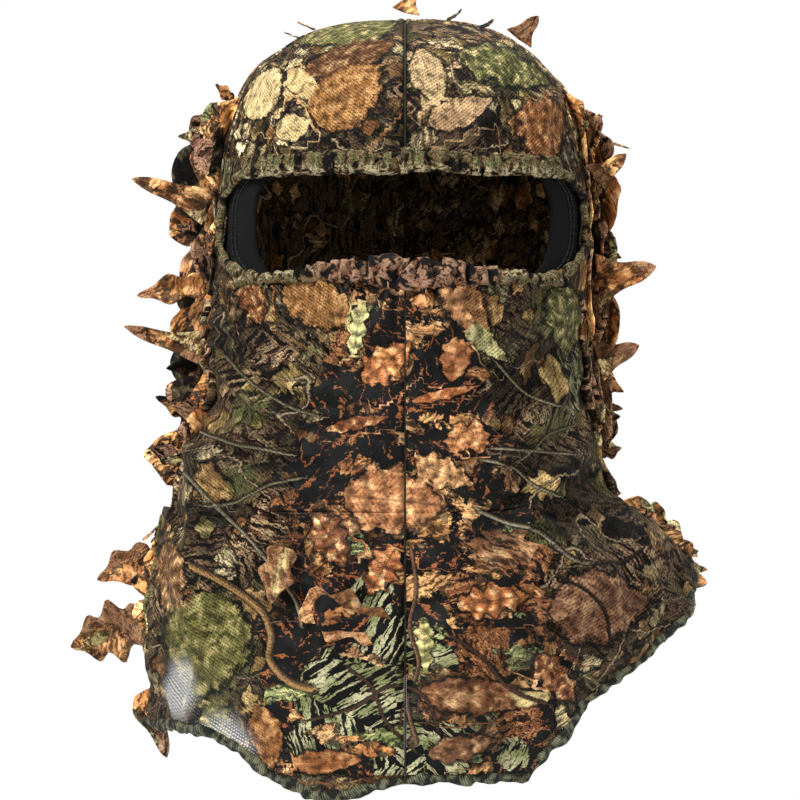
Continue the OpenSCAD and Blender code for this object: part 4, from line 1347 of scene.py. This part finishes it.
# the overlocked hems
a = span(-BIB_A, BIB_A, 0.35)
ripple = wobble(a, 1.6, 141)
z = hem_edge(a) + 0.8 + 0.9 * wobble(a, 3.0, 142)
hem = tube("bib_overlock", a, z, bib_off(a, z) - 0.3 + 0.5 * ripple, 2.5 + 0.8 * ripple, 1.7 + 0.5 * ripple,
           "hem_thread", 10)
keep(hem, "bib_cloth", "bib_hem")
a = span(CAPE_A - 5, 360 - CAPE_A + 5, 0.5)
z = cape_edge(a) + 0.6 * wobble(a, 5, 151)
hem = tube("cape_overlock", a, z, 1.2 + 0.5 * wobble(a, 3, 152), 1.8, 1.4, "hem_thread", 8)
keep(hem, "cape_cloth", "cape_hem")
# the bib's side edges, folded over and stitched
for side, word in SIDES:
    z = span(JOIN_Z - 4, hem_edge(np.array([side * BIB_A]))[0] + 1, 1.0)
    a = side * BIB_A + 0 * z
    edge = tube("bib_edge_" + word, a, z, bib_off(a, z) + 0.8 * wobble(z, 7, 161),
                2.4 + 0.9 * wobble(z, 9, 162), 1.2 + 0.4 * wobble(z, 6, 163),
                "mesh_camo", 10, (60, 500), green=0.8 if side < 0 else 0.0)
    keep(edge, "bib_cloth")

# lockstitches along the liner, two rows
for side, word in SIDES:
    grids = []
    for row in (0, 1):
        for z0 in np.arange(-22, 24, 3.1):
            z = np.linspace(z0 - 1.15, z0 + 1.15, 4)
            a = side * (EYE_A - 6.0 + 2.4 * row - 19 * np.abs(z / 26) ** 3.0)
            grids.append(ring_of(a, z, -0.6 + 0 * z, 0.34, 0.3, 6))
    stitches = build("liner_stitches_" + word, grids, "stitch_grey", thick=0, closed=True)
    keep(stitches, "hood", "liner_stitching_" + word)

# where each loose leaf is sewn, from its joint in the record
FLUTTER = "_flutter"
ROOTS = {j["name"][:-len(FLUTTER)]: np.array(j["pos_m"]) * 1000
         for j in frame["record"]["behaviour"]["joints"] if j["name"].endswith(FLUTTER)}
LEAF_ROOTS = list(ROOTS.values())


# ---- strips of cut leaves down both sides of the hood, free edges to the front
def upright(side, a, z0, z1, seed, base, tongues, lift, curl):
    """A strip that runs down the hood's side, free edge to the front."""
    z = span(z0, z1, 1.5)
    if side < 0:
        z = z[::-1]
    wander = 1.6 * wobble(z, 17, seed)
    return leaf_strip(seed, side * a + wander, z, base, tongues, lift, curl, ruffle=0.22, rows=9,
                      halves=(9.0, 17.0), tip=2.4, clear=LEAF_ROOTS)


STRIPS = {
    "left": [(71, 56, -100, 201, 5, (4, 9), 44, 60), (80, 50, -112, 211, 8, (5, 11), 62, 36),
             (90, 44, -116, 221, 8, (6, 12), 74, 20)],
    "right": [(72, 58, -96, 203, 5, (3, 8), 22, 34), (82, 52, -98, 213, 7, (4, 10), 24, 24),
              (93, 46, -100, 223, 8, (5, 11), 28, 18)]}
for side, word in SIDES:
    strips = grouped("side_strips_" + word, [upright(side, *strip) for strip in STRIPS[word]])
    keep(strips, "hood", "side_leaves_" + word)

# ---- rows of cut leaves round the back, free edges down
rows = []
for k, z0 in enumerate(range(80, -121, -18)):
    a = span(100 + 4 * (k % 2), 260 - 4 * (k % 3), 0.9)
    z = z0 + 5.0 * wobble(a, 17, 231 + k)
    flat, roll = (14, -26) if z0 > 40 else (20, 6)
    rows.append(leaf_strip(241 + k, a, z, 6, (9, 18), flat, roll, halves=(4.0, 9.0)))
keep(grouped("back_leaf_rows", rows), "hood", "back_leaves")

rows = []
for k, z0 in enumerate((88.5, 85)):
    a = span(112, 248, 1.6)
    z = z0 + 0.8 * wobble(a, 25, 261 + k)
    rows.append(leaf_strip(271 + k, a, z, 4, (6, 12), 16, -52, halves=(4.0, 7.0)))
rng = np.random.RandomState(7)
for a0, z0, turn in ((70, 90.3, 10), (-72, 86, -20), (98, 88, 30), (-100, 84, 0)):
    rows.append(sewn(rng, a0, z0, turn, 30, 9, 7, 1, 1.4, 26))
keep(grouped("crown_leaf_rows", rows), "hood", "crown_leaves")

for side, word in SIDES:
    rows = []
    for k, z0 in enumerate((-131, -148, -165, -182)):
        first, last = (180.2, 360 - CAPE_A + 2) if side < 0 else (CAPE_A + 8, 179.8)
        a = span(first, last, 0.9)
        z = np.maximum(z0 + 3 * wobble(a, 23, 281 + k), cape_edge(a) + 14)
        rows.append(leaf_strip(291 + k + 10 * side, a, z, 6, (10, 17), 24, 12, clear=LEAF_ROOTS))
    if side < 0:
        line = span(-182, -128, 1.5)
        rows.append(leaf_strip(310, -92 + 0 * line, line, 5, (10, 19), 72, 20, clear=LEAF_ROOTS))
    keep(grouped("cape_leaf_rows_" + word, rows), "cape_cloth", "cape_leaves_" + word)

# the rolled, leaf-cut fold along the top of the right shoulder
t = np.linspace(0, 1, 46)
a, z = lerp(87, 67, t), lerp(-146, -126, t)
roll = [leaf_strip(331, a, z, 5, (3, 7), 46, 60, off=5.0, halves=(7, 12), tip=2.2),
        leaf_strip(332, a - 3, z - 7, 4, (3, 6), 34, 60, off=5.0, halves=(7, 12), tip=2.2)]
keep(grouped("shoulder_roll", roll), "bib_cloth")

# ---- single leaves sewn by their roots: some strewn over the back, some listed at the sides
BACK_LEAVES = 64
LEAF_ROOM = 16         # none is set nearer than this to a loose leaf's root
SIDE_LEAVES = [        # degrees from the nose, height, turn, lift, length, width, horn
    (-84, -2, 92, 62, 19, 9, True), (-80, 38, 120, 58, 15, 8, False), (-78, 55, 110, 52, 12, 8, False),
    (-86, -82, 80, 64, 22, 13, False), (-84, -60, 70, 66, 18, 12, False), (-80, 16, 100, 64, 16, 10, True),
    (-78, -104, 60, 60, 18, 12, False), (80, 44, -110, 44, 11, 8, True), (82, -100, -80, 48, 12, 9, False),
    (84, -24, -100, 52, 15, 9, True), (82, 8, -90, 40, 12, 9, False), (84, -84, -70, 44, 13, 10, False)]
rng = np.random.RandomState(11)
grids = []
for k in range(BACK_LEAVES):
    a0, z0 = rng.uniform(104, 256), rng.uniform(-112, 56)
    grids.append(sewn(rng, a0, z0, rng.uniform(-70, 70), rng.uniform(34, 62), rng.uniform(17, 30),
                      rng.uniform(10, 18), rng.randint(1, 4), 2.2, rng.uniform(-20, 50),
                      rng.uniform(0.1, 0.4)))
for a0, z0, turn, lift, length, width, horn in SIDE_LEAVES:
    leaf = sewn(rng, a0, z0, turn, lift, length, width, 2, 1.6, 24, horn=horn)
    if min(np.linalg.norm(point(a0, at_height(z0)) - root) for root in LEAF_ROOTS) > LEAF_ROOM:
        grids.append(leaf)
keep(grouped("sewn_leaves", grids), "hood")

# ---- the rolled tongue at the bib's lower left corner
root = lifted(-BIB_A + 1, at_height(-206), 4.5)
corner = tongue(rng, root, (0.45, -0.1, -0.88), (-0.3, -0.95, 0), 33, 17, 1, 30, 0.5)
keep(grouped("bib_corner_tongue", [corner]), "bib")

# ---- the loose leaves, each on its own body
# each one's word, direction, length, width, lobes, curl and whether it is a pointed horn
LOOSE = [
    ("temple_left", (-1, -0.1, 0.42), 37, 15, 1, -24, True),
    ("cheek_left", (-1, -0.1, -0.12), 31, 15, 2, 14, False),
    ("jaw_left", (-1, -0.1, 0.16), 36, 13, 2, 10, True),
    ("shoulder_left", (-1, 0, -0.6), 28, 20, 2, 16, False),
    ("cape_left", (-1, 0, -0.3), 36, 30, 3, -18, False),
    ("temple_right", (0.8, -0.1, 0.6), 18, 13, 1, 18, True),
    ("cheek_right", (1, -0.1, 0.12), 27, 20, 3, 10, True),
    ("jaw_right", (1, -0.1, 0.28), 20, 16, 2, 14, True), ("crown_top", (0.3, 0.1, 1), 12, 11, 1, 10, True),
    ("crown_right", (0.6, -0.1, 0.8), 14, 12, 1, 16, True),
    ("bib_centre", (0.9, -0.2, -0.4), 48, 25, 3, -18, False),
    ("bib_side", (-0.3, -0.35, -0.9), 28, 18, 2, 18, False)]
BIB_LEAF_IN = np.array([0.0, 4.0, 0.0])     # brings the bib's two leaves up to its satin
ROOT_GAP = 0.8         # a leaf begins this far from its joint

for k, (word, direction, length, width, lobes, curl, horn) in enumerate(LOOSE):
    rng = np.random.RandomState(400 + k)
    root = ROOTS[word] + ROOT_GAP * unit(np.array(direction))
    on_bib = "bib" in word
    if on_bib:
        root = root + BIB_LEAF_IN
    grid = tongue(rng, root, direction, (0, -1, 0), length, width, lobes, curl, 0.5, 21, 9, horn,
                  plain=0.5 if on_bib else 0.3)
    leaf = grouped("loose_leaf_" + word, [grid])
    keep(leaf, "leaf_" + word, "leaf_" + word)

# ---- the rolled edge where the face's cloth leaves the hood's side
for side, word in SIDES:
    z = span(-33, -122, 0.9)
    bend = EYE_A + 4.5 + 1.5 * wobble(z, 20, 171)
    off = 2.2 + 1.6 * smooth((-z - 60) / 40) + folds(side * bend, z) + 0.8 * wobble(z, 8, 172)
    roll = tube("face_edge_" + word, side * bend, z, off, 3.0 + 0.9 * wobble(z, 9, 173),
                1.9 + 0.6 * wobble(z, 6, 174), "mesh_camo", 10, (60, 700))
    keep(roll, "hood")

# ---------------------------------------------------------------- camera, light and stage
scene = bpy.context.scene
MIDDLE = (-0.0022, -0.077)     # x and height that the camera looks at
CAMERA_AWAY = 2.5
VIEW_WIDE = 0.358              # what the picture's width takes in at the head's middle
camera = bpy.data.objects.new("camera", bpy.data.cameras.new("camera"))
scene.collection.objects.link(camera)
camera.location = (MIDDLE[0], -CAMERA_AWAY, MIDDLE[1])
camera.rotation_euler = (math.pi / 2, 0, 0)
camera.data.sensor_width = 36
camera.data.lens = camera.data.sensor_width * CAMERA_AWAY / VIEW_WIDE
scene.camera = camera


def area(name, where, at, size, power):
    """A square light that faces a point."""
    light = bpy.data.lights.new(name, "AREA")
    light.size, light.energy = size, power
    obj = bpy.data.objects.new(name, light)
    scene.collection.objects.link(obj)
    obj.location = where
    obj.rotation_euler = (Vector(at) - Vector(where)).to_track_quat("-Z", "Y").to_euler()


area("key", (-1.1, -1.4, 1.25), (0, 0, -0.05), 0.6, 28)
area("fill", (1.3, -1.5, 0.3), (0, 0, -0.08), 1.4, 6)
area("top", (0.1, 0.3, 1.6), (0, 0, 0), 1.2, 14)
world = bpy.data.worlds.new("studio")
world.use_nodes = True
world.node_tree.nodes["Background"].inputs[0].default_value = (1, 1, 1, 1)
world.node_tree.nodes["Background"].inputs[1].default_value = 0.31
scene.world = world

floor_z = cad_box[0].z - 0.035
TURNS = 64


def backdrop(name, profile, glow):
    """A turned surface round the object, pale, or black and glowing white."""
    turns = np.linspace(0, 2 * math.pi, TURNS + 1)[:-1]
    verts = [(r * math.cos(k), r * math.sin(k), z) for r, z in profile for k in turns]
    faces = []
    for i in range(0, (len(profile) - 1) * TURNS, TURNS):
        for j in range(TURNS):
            k = (j + 1) % TURNS
            faces.append((i + j, i + k, i + TURNS + k, i + TURNS + j))
    mesh = bpy.data.meshes.new(name)
    mesh.from_pydata(verts, [], faces)
    mesh.polygons.foreach_set("use_smooth", [True] * len(mesh.polygons))
    obj = bpy.data.objects.new(name, mesh)
    scene.collection.objects.link(obj)
    pale = bpy.data.materials.new(name)
    pale.use_nodes = True
    bsdf = pale.node_tree.nodes["Principled BSDF"]
    bsdf.inputs["Base Color"].default_value = (0, 0, 0, 1) if glow else (0.93, 0.93, 0.93, 1)
    bsdf.inputs["Roughness"].default_value = 0.9
    bsdf.inputs["Emission Color"].default_value = (1, 1, 1, 1)
    bsdf.inputs["Emission Strength"].default_value = glow
    mesh.materials.append(pale)
    return obj


backdrop("studio_floor", [(0.001, floor_z), (0.2, floor_z), (0.38, floor_z), (0.385, floor_z - 0.004),
                          (0.001, floor_z - 0.006)], 0)
dome = backdrop("studio_dome", [(0.01, floor_z - 2.5), (7, floor_z - 2.5), (9, floor_z), (9, 6), (6, 9),
                                (0.01, 10)], 1.0)
for ray in ("diffuse", "glossy", "transmission", "shadow", "volume_scatter"):
    setattr(dome, "visible_" + ray, False)
scene.view_settings.view_transform = "Standard"
